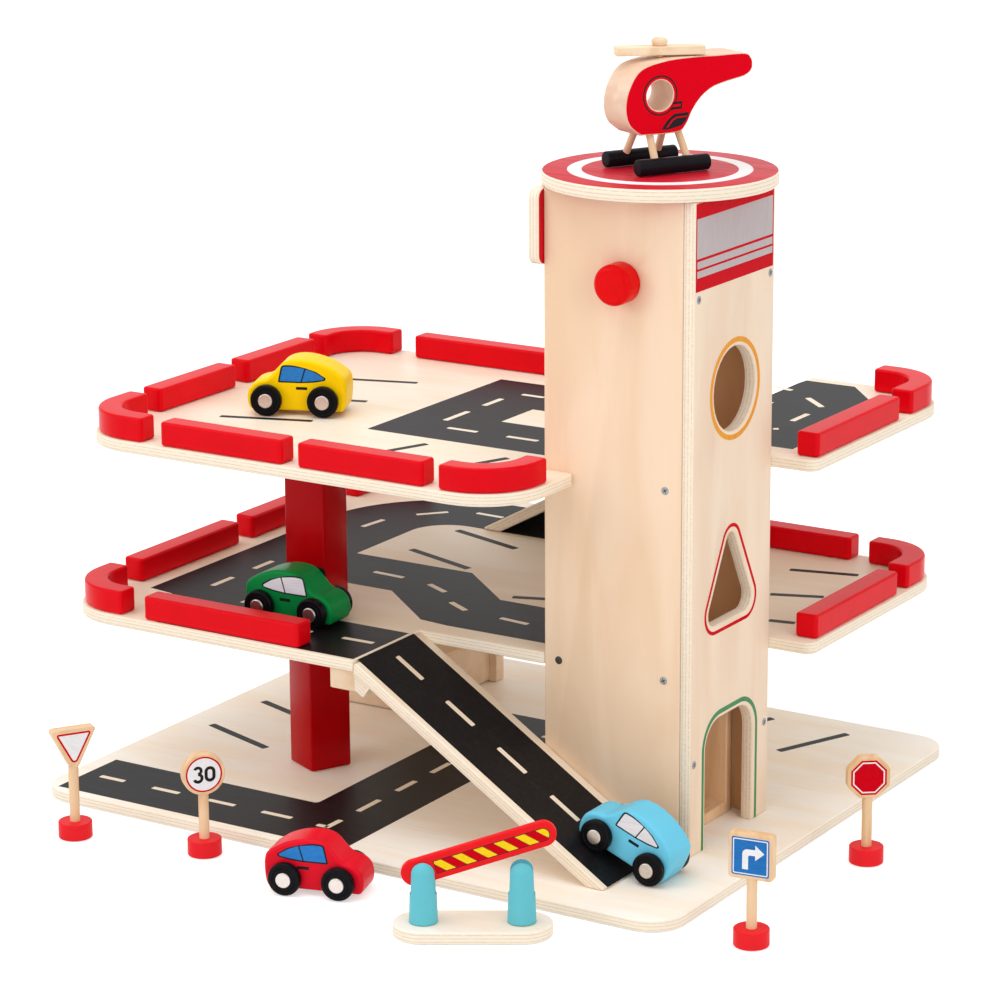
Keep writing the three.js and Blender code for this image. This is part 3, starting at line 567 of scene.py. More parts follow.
silver_ink = ink("silver print", srgb(190, 180, 181), srgb(180, 169, 170), grain="Z")
blue_ink = ink("blue print", srgb(34, 116, 190), srgb(28, 98, 168))
yellow_ink = ink("yellow print", srgb(250, 212, 22), srgb(236, 190, 14))
black_ink = ink("black print", srgb(26, 24, 28), srgb(40, 38, 42))

# Materials of the CAD nodes that stay

SLOPE_LOW = atan2(MID_TOP - RAMP_FOOT, RAMP_RUN)
SLOPE_HIGH = atan2(UPPER_TOP - MID_TOP - RAMP_FOOT, UPPER_RAMP_END - UPPER_RAMP_START)

# The tower's panels, the landing disc and the white ring on it, which is in metres
PANEL = 9.7
BACK_PANEL_FACE = 111.3
SIGN_BOARD_FACE = -135.8
DISC = 10
DISC_FOOT = 494.3
RING_RADII = (0.0575, 0.068)


def through(point, axis):
    """Where a plan point in millimetres lies along an axis of the row frame, in metres."""
    return (PLAN @ Vector(point)).dot(Vector(axis))


def board(name, letter, start, grain="X", **settings):
    """Ply that is square to an axis of the plan, from start on."""
    axis = AXES[letter]
    return plywood(name, axis, through([start * part for part in axis], axis), grain, **settings)


def sloping_board(name, start, normal):
    """Ply of a ramp, whose upper face holds the plan point start."""
    return plywood(name, normal, through(start, normal) - PLY * MM, "X")


low_normal = (sin(SLOPE_LOW), 0, cos(SLOPE_LOW))
high_normal = (-sin(SLOPE_HIGH), 0, cos(SLOPE_HIGH))
disc_centre = PLAN @ plan_centre("helipad_disc")
disc_ring = (tuple(disc_centre), *RING_RADII, srgb(246, 244, 244))
warm = {"light": srgb(247, 219, 190), "dark": srgb(239, 207, 174)}
pale = {"light": srgb(255, 248, 238), "dark": srgb(254, 240, 222)}
rosy = {"light": srgb(244, 222, 198), "dark": srgb(238, 212, 185)}
kept = {
    "base_board": board("base ply", "Z", -PLY, **pale),
    "mid_deck": board("middle deck ply", "Z", MID_TOP - PLY),
    "upper_deck": board("upper deck ply", "Z", UPPER_TOP - PLY),
    "tower_front_panel": board("front panel ply", "Y", 0, "Z", thickness=PANEL, inside=(0, 1, 0), **warm),
    "tower_back_panel": board(
        "back panel ply", "Y", BACK_PANEL_FACE, "Z", thickness=PANEL, inside=(0, -1, 0), **warm,
    ),
    "tower_right_panel": board(
        "right panel ply", "X", -PANEL, "Z", thickness=PANEL, inside=(-1, 0, 0), **rosy,
    ),
    "left_sign_board": board("sign board ply", "X", SIGN_BOARD_FACE, "Z", face=srgb(214, 4, 28)),
    "helipad_disc": board(
        "landing disc ply", "Z", DISC_FOOT, thickness=DISC, face=srgb(206, 26, 46), ring=disc_ring,
    ),
    "rear_support": solid_wood("support wood", "X", **warm),
    "lower_ramp": sloping_board("lower ramp ply", (LOWER_RAMP_START, 0, MID_TOP), low_normal),
    "upper_ramp": sloping_board("upper ramp ply", (UPPER_RAMP_START, 0, MID_TOP), high_normal),
    "ramp_cleat": beech,
    "lift_cabin": solid_wood("cabin wood", "Z", srgb(240, 202, 160), srgb(226, 184, 140)),
    "lift_spindle": beech_upright,
    "lower_post": post_paint,
    "upper_post": post_paint,
}

# How much the edges of the CAD nodes that stay are eased, in metres
EASED_EDGE = 0.00035
for node, material in kept.items():
    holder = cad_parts[node]
    holder.data.materials.clear()
    holder.data.materials.append(material)
    for polygon in holder.data.polygons:
        polygon.use_smooth = True
    modify(holder, "Weld", "WELD", merge_threshold=1e-6)
    modify(
        holder, "Ease", "BEVEL", width=EASED_EDGE, segments=2, limit_method="ANGLE",
        angle_limit=radians(30), harden_normals=True,
    )

# Printed roads

def prints(name, body, place, blacks, bares):
    """Road areas and lines in black, with bare wood dashes lying on them."""
    shells = [(slab(shape, INK), place @ at(0, 0, INK_GAP), 0) for shape in blacks]
    shells += [(slab(shape, INK), place @ at(0, 0, INK_GAP + LAYER), 1) for shape in bares]
    return make(name, shells, [road_ink, birch_dash], body, smooth=0)


def marks(table, width):
    return [stroke(*ends, width) for ends in table]


base_road = outline([
    (-504, -119), (-232, -119), (-231, 145), (-62, 145), (-62, 219), (-306.5, 219, 5),
    (-306.5, -45, 4), (-504, -45),
])
base_lines = [
    (-491, 66, -417, 41), (-490, 138, -417, 113), (-57.5, 250, -28.5, 317), (-129, 254, -100, 321),
]
base_dashes = [
    (-490, -83, -466, -83), (-438, -83, -412, -83), (-384, -83, -358, -83), (-332, -83, -304, -83),
    (-279, -85, -269, -84.6), (-269.3, -86.6, -269, -67), (-269, -44, -269, -14), (-269, 10, -269, 37),
    (-269, 60, -269, 87), (-269, 112, -269, 139), (-240, 182, -213, 182), (-187, 182, -160, 182),
]
prints(
    "base_road_print", "garage", at(0, 0, 0),
    [base_road, *marks(base_lines, LINE_WIDTH)], marks(base_dashes, DASH_WIDTH),
)

mid_road = outline([
    (-486, -16), (-462, -20), (-425, -60), (-425, -88), (-240.6, -88), (-240.6, -12), (-401, -12),
    (-401, 76.7), (-316, 76.7), (-253, 23), (-227, 20), (-128, 20), (-128, 99), (-228, 99.5),
    (-288, 152), (-401, 152), (-401, 269, 35), (-124, 269), (-124, 346), (-486, 346, 112),
])
mid_lines = [
    (-368, 254, -295, 231), (-369, 185, -297, 161), (-224, 111, -150, 137), (-72, 293, -17, 307),
    (-53, 223, -13, 238), (-21, 160, 0, 164),
]
mid_dashes = [
    (-447, -49, -447, -46), (-447, 14, -447, 42), (-447, 71, -447, 97), (-446, 128, -446, 155),
    (-443, 222, -440, 250), (-425, 278, -406, 299), (-383, 309, -356, 308), (-358, 114, -328, 112),
    (-300, 107, -277, 95), (-258, 74, -236, 61), (-202, 58, -175, 55), (-278, -47.5, -250, -47),
    (-334, -48.5, -306, -48), (-390, -49.5, -362, -49),
]
prints(
    "middle_road_print", "garage", at(0, 0, MID_TOP),
    [mid_road, *marks(mid_lines, LINE_WIDTH)], marks(mid_dashes, DASH_WIDTH),
)

upper_road = outline([
    (-308, 34), (-128, 34), (-128, 107), (-231, 107), (-231, 154), (-78, 154), (-78, 146),
    (4.5, 146), (4.5, 294), (-47, 354), (-91.5, 354), (-91.5, 273), (-78, 273), (-78, 230),
    (-308, 230),
])
upper_lines = [
    (-431, 9, -359, 33), (-431, 87, -359, 109), (-431, 162, -360, 184), (-266, -40, -242, 18),
    (-188, -38, -166, 13),
]
upper_dashes = [
    (-271, 88, -271, 122), (-271, 145, -271, 172), (-256, 69, -229, 69), (-202, 69, -174, 69),
    (-265, 193, -244, 193), (-218, 193, -191, 193), (-165, 193, -138, 193), (-105, 321, -85, 317),
    (-62, 300, -38, 278), (-37, 225, -37, 252), (-38, 195, -34, 197), (-112, 193, -85, 193),
]
prints(
    "upper_road_print", "garage", at(0, 0, UPPER_TOP),
    [upper_road, *marks(upper_lines, UPPER_LINE_WIDTH)], marks(upper_dashes, DASH_WIDTH),
)

# Along a ramp from its top end: its dashes, the bare borders beside the black strip and the
# length that its square-cut foot takes
ramp_dashes = [(12.6, 39.8), (65, 93.4), (119, 147.8), (173.8, 202)]
BORDER_NEAR = 5.5
BORDER_FAR = 9
BORDER_TOP = 0.9
FOOT_CUT = 1.6
DASHES_ASIDE = 1.5


def ramp_print(name, place, run, slope, border_end):
    length = run / cos(slope) - FOOT_CUT
    strip = rectangle(BORDER_TOP, BORDER_NEAR, length - border_end, RAMP_WIDTH - BORDER_FAR)
    middle = RAMP_WIDTH / 2 - DASHES_ASIDE
    dashes = [stroke(a, middle, b, middle, DASH_WIDTH) for a, b in ramp_dashes]
    return prints(name, "garage", place @ Matrix.Rotation(slope, 4, "Y"), [strip], dashes)


ramp_print(
    "lower_ramp_print", at(LOWER_RAMP_START, LOWER_RAMP_EDGE, MID_TOP), RAMP_RUN, SLOPE_LOW, 0.6,
)
ramp_print(
    "upper_ramp_print", at(UPPER_RAMP_END, UPPER_RAMP_EDGE + RAMP_WIDTH, UPPER_TOP, 180),
    UPPER_RAMP_END - UPPER_RAMP_START, SLOPE_HIGH, 3,
)

# Prints and screws of the tower

def on_right_face(x=0.0):
    return at(x + INK_GAP, 0, 0) @ STAND_Y


def ring(outer, inner):
    return slab(outer, INK, holes=[inner])


def door_outline(left, right, top, radius):
    return outline([(right, 0.5), (right, top, radius), (left, top, radius), (left, 0.5)])


ROUND_WINDOW = (62, 347)
ROUND_RIM_RADII = (38.4, 34.5)
TRIANGLE_RIM_REACH = (6.6, 3.8)
triangle_window = outline([(18.5, 171.5, 10), (99.5, 171.5, 10), (59, 247.3, 8)])
round_rim = [circle(*ROUND_WINDOW, radius, 96) for radius in ROUND_RIM_RADII]
triangle_rim = [inset(counterclockwise(triangle_window), -reach) for reach in TRIANGLE_RIM_REACH]
outside_door = door_outline(16.7, 103.7, 104.4, 28)
inside_door = door_outline(20, 100.4, 100.7, 24.5)
make(
    "window_prints",
    [
        (ring(*round_rim), on_right_face(), 0),
        (ring(*triangle_rim), on_right_face(), 1),
        (slab(outside_door + inside_door[::-1], INK), on_right_face(), 2),
    ],
    [orange_ink, red_ink, green_ink], "garage", smooth=0,
)
sign_field = rectangle(0.9, 429, 118.6, 493.1)
silver_fields = [
    rectangle(2.4, 453, 117, 482), rectangle(3, 445.7, 117, 451), rectangle(3, 439, 117, 444),
]
make(
    "sign_field_print",
    [(slab(sign_field, INK), on_right_face(), 0)]
    + [(slab(field, INK), on_right_face(LAYER), 1) for field in silver_fields],
    [red_ink, silver_ink], "garage", smooth=0,
)

SCREW_RADIUS = 3.1
SCREW_RIM = 0.12
SCREW_TOP = 0.36
RECESS_LIFT = 0.2
RECESS_TURN = 0.5


def screw(place, dark):
    """A countersunk head just off the board, with the shade in its cross recess painted as a raised dark
    cross.
    """
    rim = SCREW_RADIUS
    head = revolve([(0, 0), (rim, 0), (rim, SCREW_RIM), (rim * 0.86, 0.3), (0, SCREW_TOP)], 32)
    arm, half = rim * 0.62, rim * 0.13
    bar = slab(rectangle(-arm, -half, arm, half, rim * 0.12), RECESS_LIFT, 0.05)
    recess = place @ at(0, 0, RECESS_LIFT) @ Matrix.Rotation(RECESS_TURN, 4, "Z")
    return [(head, place, 1 if dark else 0), (bar, recess, 1), (bar, recess @ at(0, 0, 0, 90), 1)]


screws = []
for y, z in [(5.9, 423), (114.8, 424), (4.8, 72), (114.9, 74)]:
    screws += screw(at(INK_GAP, y, z) @ AIM_X, False)
for x, z, dark in [(-114, 136, True), (-23.5, 280, False), (-23.7, 135, False)]:
    screws += screw(at(x, -INK_GAP, z) @ STAND_X, dark)
for x, z in [(-114, 136), (-23.5, 280), (-23.7, 135), (-114, 280)]:
    screws += screw(at(x, BACK_PANEL_FACE + PANEL + INK_GAP, z) @ AIM_Y, False)
make("tower_screws", screws, [screw_metal, dark_metal], "garage", smooth=30)

# Rails, rebuilt with round edges

RAIL_WIDTH = 18.7
RAIL_EASE = 2
RAIL_CORNER = 47.5
RAIL_END = 3.2
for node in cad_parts:
    if "_rail_" not in node:
        continue
    low, high = plan_box(node)
    size = high - low
    if node.endswith("corner"):
        x0, y0, x1, y1 = low.x, low.y, high.x, high.y
        if "right" in node:
            x0, x1 = x1, x0
        if "rear" in node:
            y0, y1 = y1, y0
        sx, sy = copysign(1, x1 - x0), copysign(1, y1 - y0)
        shape = outline([
            (x0, y0, RAIL_CORNER), (x1, y0, RAIL_END), (x1, y0 + sy * RAIL_WIDTH, RAIL_END),
            (x0 + sx * RAIL_WIDTH, y0 + sy * RAIL_WIDTH, RAIL_CORNER - RAIL_WIDTH),
            (x0 + sx * RAIL_WIDTH, y1, RAIL_END), (x0, y1, RAIL_END),
        ])
    else:
        shape = rectangle(low.x, low.y, high.x, high.y, RAIL_END)
    rail = slab(shape, size.z, RAIL_EASE)
    dress(node, "lacquered", rail, at(0, 0, low.z), red_paint, "garage")

# Lift

# The knob is drawn this much fuller than its solid, all round and at its front end
KNOB_FULLER = 1.8
KNOB_BACK_EDGE = 0.8
KNOB_FRONT_EDGE = 4.5
low, high = plan_box("lift_knob")
knob_radius = (high.x - low.x) / 2 + KNOB_FULLER
knob_length = high.y - low.y + KNOB_FULLER
knob = revolve([
    (0, 0), *fillet(knob_radius, 0, KNOB_BACK_EDGE, sign=-1),
    *fillet(knob_radius, knob_length, KNOB_FRONT_EDGE, 10), (0, knob_length),
], 96)
knob_middle = (low + high) / 2
dress(
    "lift_knob", "lacquered", knob, at(knob_middle.x, high.y, knob_middle.z) @ STAND_X,
    paint("knob paint", srgb(228, 2, 8), roughness=0.24), "crank",
)

look = Look("braided cord", roughness=0.8)
braid = look.add(
    "ShaderNodeTexWave",
    {"Vector": look.scaled((300, 300, 900)), "Scale": 1.0, "Distortion": 3.0, "Detail": 2.0},
    bands_direction="DIAGONAL",
).outputs[1]
fibres = look.mix(braid, srgb(222, 214, 196), srgb(176, 164, 142))
cord_look = look.finish(fibres, braid, bump=0.5, depth=0.0003)
STRANDS = 3
TWIST_PITCH = 9
RINGS_PER_TWIST = 8
CORD_SIDES = 18
CORD_GROOVE = 0.16


def twisted_cord(radius, length):
    """A cord along +Z whose grooves between its strands wind round it."""
    rings = int(length / TWIST_PITCH * RINGS_PER_TWIST)
    points, faces = [], []
    for i in range(rings + 1):
        z = length * i / rings
        for k in range(CORD_SIDES):
            angle = 2 * pi * k / CORD_SIDES
            wound = STRANDS / 2 * (angle - 2 * pi * z / TWIST_PITCH)
            reach = radius * (1 - CORD_GROOVE * abs(sin(wound)))
            points.append(Vector((reach * cos(angle), reach * sin(angle), z)))
    for i in range(rings):
        for k in range(CORD_SIDES):
            a, b = i * CORD_SIDES + k, i * CORD_SIDES + (k + 1) % CORD_SIDES
            faces.append((a, b, b + CORD_SIDES, a + CORD_SIDES))
    end = rings * CORD_SIDES
    return points, faces + [tuple(range(CORD_SIDES)), tuple(range(end, end + CORD_SIDES))]


low, high = plan_box("lift_cord")
cord_middle = (low + high) / 2
cord_radius = (high.x - low.x) / 2
cord_length = high.z - low.z
cord = dress(
    "lift_cord", "braided", twisted_cord(cord_radius, cord_length),
    at(cord_middle.x, cord_middle.y, low.z), cord_look, "garage", smooth=60,
)
cord.modifiers.clear()
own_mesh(cord)

# Toy cars

CAR_WIDTH = 30
CAR_CLEARANCE = 3.5
CAR_EASE = 3
CAR_SILL_SHARE = 0.06
WHEEL_RADIUS = 12.5
WHEEL_INSIDE = 15.6
WHEEL_OUTSIDE = 22.1
HUB_RADIUS = 5.8
HUB_REACH = 1.3
TYRE_SHOULDER = 1.8
TYRE_GROOVE = (9.3, 8.9, 8.5, 8.1)
GROOVE_DEPTH = 0.4
AXLE_RADIUS = 2
CAR_OUTLINE = [
    (0, 0.26), (0.02, 0.41), (0.07, 0.52), (0.13, 0.575), (0.19, 0.605), (0.245, 0.68),
    (0.3, 0.8), (0.365, 0.92), (0.45, 0.985), (0.56, 1), (0.68, 0.965), (0.81, 0.88),
    (0.92, 0.755), (0.98, 0.65), (1, 0.48),
]

# Each car's length, height and front overhang, where its windows start behind the front
# axle and how far they are let down, and how wide and tall they are drawn
CARS = {
    "yellow_car": (80, 41.5, 16.5, (10, 1), (1.04, 0.92)),
    "green_car": (79.5, 38.5, 15.5, (7.1, 1.8), (1.13, 1.1)),
    "red_car": (76.5, 39.2, 18, (9.6, 0.5), (1.06, 1.03)),
    "blue_car": (79, 40.5, 18, (10.2, 0.2), (1.03, 0.98)),
}
WINDOW_SILL = 0.582
WINDOW_LINE = 0.4
WINDOWS = [
    (-0.8, 0.582, 0.9), (2, 0.925, 2.8), (9.6, 0.94, 30), (28.6, 0.83, 40), (37.4, 0.658, 1.4),
    (26.6, 0.6, 40), (17, 0.582),
]
BIG_PANE = [(0.2, 0.602, 0.5), (2.8, 0.905, 2), (9.4, 0.918, 30), (19.6, 0.876, 0.5), (16.5, 0.6, 0.5)]
REAR_PANE = [(20.6, 0.87, 0.4), (28.2, 0.81, 40), (35.8, 0.662, 0.9), (26.4, 0.62, 40), (17.5, 0.6, 0.4)]
HANDLE = [(12.8, 0.43, 0.5), (21.6, 0.43, 0.5), (21.6, 0.49, 0.5), (12.8, 0.49, 0.5)]


def car_frame(name):
    """The matrix of a car's own frame: nose towards -X, origin below its front axle."""
    front, rear = plan_centre(f"{name}_front_wheels"), plan_centre(f"{name}_rear_wheels")
    along = (rear - front).normalized()
    across = UP.cross(along).normalized()
    up = along.cross(across)
    return facing(front - up * WHEEL_RADIUS, along, across, up)


def car_side(length, height):
    body = [(x * length, z * height) for x, z in CAR_OUTLINE]
    sill = CAR_SILL_SHARE * length
    points = bezier((sill, 0), (0, 0), body[0])
    points += spline(body)[:-1]
    points += bezier(body[-1], (length, 0), (length - sill, 0))
    return points + [Vector((length - sill, 0))]


def wheel():
    """One wheel along +Z from its inner face: a round-shouldered tyre with a grooved side."""
    depth = WHEEL_OUTSIDE - WHEEL_INSIDE
    return revolve([
        (0, 0), *fillet(WHEEL_RADIUS, 0, TYRE_SHOULDER, sign=-1),
        *fillet(WHEEL_RADIUS, depth, TYRE_SHOULDER),
        *zip(TYRE_GROOVE, (depth, depth - GROOVE_DEPTH, depth - GROOVE_DEPTH, depth)), (0, depth),
    ], 72)


def hub():
    """A polished cap that stands out of the wheel, with a rounded rim."""
    rim = fillet(HUB_RADIUS, HUB_REACH, 0.9, 6)
    return revolve([(0, 0.02), (HUB_RADIUS, 0.02), *rim, (0, HUB_REACH + 0.08)], 48)


def window_outline(name, shape):
    """A window or handle of a car, in millimetres from where its windows start."""
    _, height, _, (_, drop), (wide, tall) = CARS[name]
    corners = [
        (x * wide, (WINDOW_SILL + (z - WINDOW_SILL) * tall) * height - drop, *radius)
        for x, z, *radius in shape
    ]
    return counterclockwise(outline(corners, radians(15)))


def wheels(name, end, place):
    """A pair of wheels with their hubs on one axle."""
    axle = place.inverted() @ plan_centre(f"{name}_{end}_wheels")
    across = at(axle.x, WHEEL_INSIDE + 1, WHEEL_RADIUS) @ STAND_X
    shells = [(round_bar(AXLE_RADIUS, 2 * WHEEL_INSIDE + 2, 0.3, 24), place @ across, 0)]
    for side in (-1, 1):
        turn = STAND_X if side < 0 else STAND_X @ Matrix.Rotation(pi, 4, "X")
        for shape, out, number in ((wheel(), WHEEL_INSIDE, 0), (hub(), WHEEL_OUTSIDE, 1)):
            shells.append((shape, place @ at(axle.x, side * out, WHEEL_RADIUS) @ turn, number))
    make(
        f"{name}_{end}_wheels_turned", shells, [tyre, hub_metal], f"{name}_{end}_wheels",
        [f"{name}_{end}_wheels"],
    )


def car(name, colour, pane):
    length, height, overhang, (window_start, _), _ = CARS[name]
    place = car_frame(name)
    body = slab(car_side(length, height), CAR_WIDTH, CAR_EASE, steps=6)
    lay = place @ at(-overhang, CAR_WIDTH / 2, CAR_CLEARANCE) @ STAND_X
    dress(f"{name}_body", "painted", body, lay, colour, name)
    rim = inset(window_outline(name, WINDOWS), -WINDOW_LINE)
    shells = []
    for side in (-1, 1):
        face, lift = beside(place, side, CAR_WIDTH / 2, window_start, CAR_CLEARANCE)
        for drawn in (rim, window_outline(name, HANDLE)):
            shells.append((slab(drawn, INK), face, 0))
        for shape in (BIG_PANE, REAR_PANE):
            shells.append((slab(window_outline(name, shape), INK), face @ lift, 1))
    make(f"{name}_side_prints", shells, [black_ink, pane], name, smooth=0)
    for end in ("front", "rear"):
        wheels(name, end, place)


blue_pane = ink("blue pane", srgb(46, 128, 204), srgb(36, 110, 184))
white_pane = ink("white pane", srgb(232, 232, 238), srgb(214, 214, 222))
car("yellow_car", paint("yellow paint", srgb(255, 212, 2), roughness=0.32, shade=0.95), blue_pane)
car("green_car", paint("green paint", srgb(10, 136, 66), roughness=0.3), white_pane)
car("red_car", paint("car red paint", srgb(232, 18, 42), roughness=0.32), blue_pane)
car("blue_car", paint("sky blue paint", srgb(112, 208, 240), roughness=0.34, shade=0.92), white_pane)

# Helicopter

HELI_LENGTH = 109
HELI_HEIGHT = 55
HELI_WIDTH = 31
HELI_RIDE = 28
HELI_EASE = 1.0
HELI_OUTLINE = [
    (0.12, 0), (0.03, 0.15), (0.0, 0.38), (0.03, 0.64), (0.12, 0.87), (0.3, 0.965),
    (0.5, 0.99), (0.72, 0.985), (0.93, 0.98), (0.985, 0.915), (1, 0.82), (0.985, 0.73),
    (0.93, 0.665), (0.8, 0.615), (0.68, 0.55), (0.59, 0.43), (0.525, 0.27), (0.475, 0.09),
    (0.4, 0), (0.12, 0),
]
HELI_NOSE = 0.33
HELI_HOLE = (0.27, 0.51)
HOLE_RADIUS = 11
left_skid, right_skid = plan_centre("helicopter_left_skid"), plan_centre("helicopter_right_skid")
across = (left_skid - right_skid).normalized()
middle = (left_skid + right_skid) / 2
middle.z = plan_box("helicopter_left_skid")[0].z
heli = facing(middle, across.cross(UP), across, UP)


def heli_point(x, z):
    return ((x - HELI_NOSE) * HELI_LENGTH, HELI_RIDE + z * HELI_HEIGHT)


hole_x, hole_z = heli_point(*HELI_HOLE)
heli_side = spline([heli_point(x, z) for x, z in HELI_OUTLINE], 10)[:-1]
heli_hole = circle(hole_x, hole_z, HOLE_RADIUS, 72)
heli_body = slab(heli_side, HELI_WIDTH, HELI_EASE, [heli_hole])
dress(
    "helicopter_body", "wood", heli_body, heli @ at(0, HELI_WIDTH / 2, 0) @ STAND_X,
    solid_wood("helicopter beech", "X", srgb(238, 209, 186), srgb(228, 192, 164)),
    "helicopter",
)

# Marks are drawn from the middle of the hole
PRINT_INSET = 0.9
PRINT_HOLE = 11.9
DARK_RING = (14.7, 13.5)
DARK_MARKS = [
    [(11.2, -5.6), (18.9, -5.3), (18.6, -11), (8.6, -11.2)],
    [
        (0.9, -25), (6.5, -18.2), (12.1, -14.2), (24.6, -13.8), (23.6, -17), (21.6, -20.4),
        (18, -23.2), (7.2, -25.3),
    ],
]
RED_MARKS = [
    [(11.2, -7.4), (17.3, -7.2), (17.2, -9), (10.4, -9.2)],
    [
        (5.3, -23.6), (10, -18.4), (13.6, -16.6), (23.1, -16.3), (22.8, -17.2), (14, -17.6),
        (10.8, -19.3), (6.6, -23.9),
    ],
]


def from_hole(shape):
    return [Vector((hole_x + x, hole_z + z)) for x, z in shape]


heli_face = inset(counterclockwise(without_repeats(heli_side)), PRINT_INSET)
face_print = ring(heli_face, circle(hole_x, hole_z, PRINT_HOLE, 96))
ring_print = ring(*[circle(hole_x, hole_z, radius, 96) for radius in DARK_RING])
shells = []
for side in (-1, 1):
    face, lift = beside(heli, side, HELI_WIDTH / 2)
    shells += [(face_print, face, 0), (ring_print, face @ lift, 1)]
    shells += [(slab(from_hole(shape), INK), face @ lift, 1) for shape in DARK_MARKS]
    shells += [(slab(from_hole(shape), INK), face @ lift @ lift, 0) for shape in RED_MARKS]
make(
    "helicopter_side_prints", shells, [bright_red_ink, black_ink], "helicopter",
    smooth=0,
)

# The rotor lies this far behind the hole and over the body, its head on it and its pin below
ROTOR_SET_BACK = 8.7
ROTOR_GAP = 0.4
ROTOR_TURN = -21.5
ROTOR_HALF = (33, 7)
ROTOR_THICKNESS = 6.5
HEAD_SUNK = 0.1
PIN_RADIUS = 2.5
PIN_LENGTH = 11
PIN_DEPTH = 10.5
rotor_x = hole_x + ROTOR_SET_BACK
rotor_under = HELI_RIDE + HELI_HEIGHT + ROTOR_GAP
blade = rectangle(-ROTOR_HALF[0], -ROTOR_HALF[1], *ROTOR_HALF, 2.5)
head = revolve([(0, 0), (4.4, 0), (5.2, 0.6), (6, 2.6), *fillet(6, 5.8, 3, 6), (0, 5.8)], 48)
pin = round_bar(PIN_RADIUS, PIN_LENGTH, 0.3, 24)
make(
    "helicopter_rotor_wood",
    [
        (slab(blade, ROTOR_THICKNESS, 0.9), heli @ at(rotor_x, 0, rotor_under, ROTOR_TURN), 0),
        (head, heli @ at(rotor_x, 0, rotor_under + ROTOR_THICKNESS - HEAD_SUNK), 1),
        (pin, heli @ at(rotor_x, 0, rotor_under - PIN_DEPTH), 1),
    ],
    [beech, beech_upright], "rotor", ["helicopter_rotor"],
)

SKID_RADIUS = 6
SKID_LENGTH = 60
SKID_SPREAD = 45
STRUT_RADIUS = 2.75

# The ends of a strut: along the body, aside from its middle and up from the skids' undersides
STRUT_TOP = (12, 8.5, HELI_RIDE + 2.5)
STRUT_FOOT = (14, SKID_SPREAD / 2, SKID_RADIUS)
for side, name in ((1, "left"), (-1, "right")):
    skid = round_bar(SKID_RADIUS, SKID_LENGTH, 1.2)
    place = heli @ at(-SKID_LENGTH / 2, side * SKID_SPREAD / 2, SKID_RADIUS) @ AIM_X
    node = f"helicopter_{name}_skid"
    dress(node, "painted", skid, place, black_paint, "helicopter")
    shells = []
    for end in (-1, 1):
        top, foot = [Vector((end * x, side * y, z)) for x, y, z in (STRUT_TOP, STRUT_FOOT)]
        axis = top - foot
        lean = UP.rotation_difference(axis.normalized()).to_matrix().to_4x4()
        shells.append((round_bar(STRUT_RADIUS, axis.length, 0.2, 32), heli @ at(*foot) @ lean, 0))
    make(f"helicopter_{name}_struts", shells, [beech_upright], "helicopter")

# Barrier

barrier_middle = plan_centre("barrier_base")
pivot_post, rest_post = plan_centre("barrier_pivot_post"), plan_centre("barrier_rest_post")
barrier_turn = degrees(atan2(rest_post.y - pivot_post.y, rest_post.x - pivot_post.x))
barrier = at(barrier_middle.x, barrier_middle.y, plan_box("barrier_base")[0].z, barrier_turn)
HALF_LENGTH = 57.25
HALF_WIDTH = 22
base_shape = rectangle(-HALF_LENGTH, -HALF_WIDTH, HALF_LENGTH, HALF_WIDTH, HALF_WIDTH - 0.1)
dress(
    "barrier_base", "ply", slab(base_shape, PLY, 0.9), barrier,
    plywood("barrier ply", AXES["Z"], 0, "X", **pale), "barrier",
)
POST_SPACING = 70
POST_STAND = PLY + 0.3
POST_HEIGHT = 46.3
POST_TOP = 9.2
POST_FOOT = 10.4
SLOT_HALF = 4
SLOT_FLOOR = 21.3


def domed_post():
    """A tapered, domed post before its slot is cut."""
    profile = [(POST_FOOT, 0), (POST_FOOT, 0.6), (POST_TOP, POST_HEIGHT - POST_TOP)]
    dome = fillet(POST_TOP, POST_HEIGHT, POST_TOP, 14)[1:]
    return revolve([(0, 0), *profile, *dome[:-1], (0, POST_HEIGHT)], 72)


def cut_slot(piece, place):
    """Cuts the slot with an exact boolean and keeps the result as the piece's mesh."""
    shape = slab(rectangle(-2 * POST_FOOT, -SLOT_HALF, 2 * POST_FOOT, SLOT_HALF), POST_HEIGHT)
    cutter = linked("slot cutter", closed_mesh("slot cutter", [(shape, barrier @ place, 0)]))
    modify(piece, "Slot", "BOOLEAN", operation="DIFFERENCE", solver="EXACT", object=cutter)
    bpy.context.view_layer.update()
    evaluated = piece.evaluated_get(bpy.context.evaluated_depsgraph_get())
    result = bpy.data.meshes.new_from_object(evaluated)
    piece.modifiers.clear()
    piece.data = result
    bpy.data.objects.remove(cutter)
    for polygon in result.polygons:
        polygon.use_smooth = True
    shade(piece, SHARP_FROM)


for name, x in (("pivot", -POST_SPACING / 2), ("rest", POST_SPACING / 2)):
    seat = at(x, 0, POST_STAND)
    post = dress(
        f"barrier_{name}_post", "painted", domed_post(), barrier @ seat, turquoise, "barrier",
    )
    cut_slot(post, seat @ at(0, 0, SLOT_FLOOR))

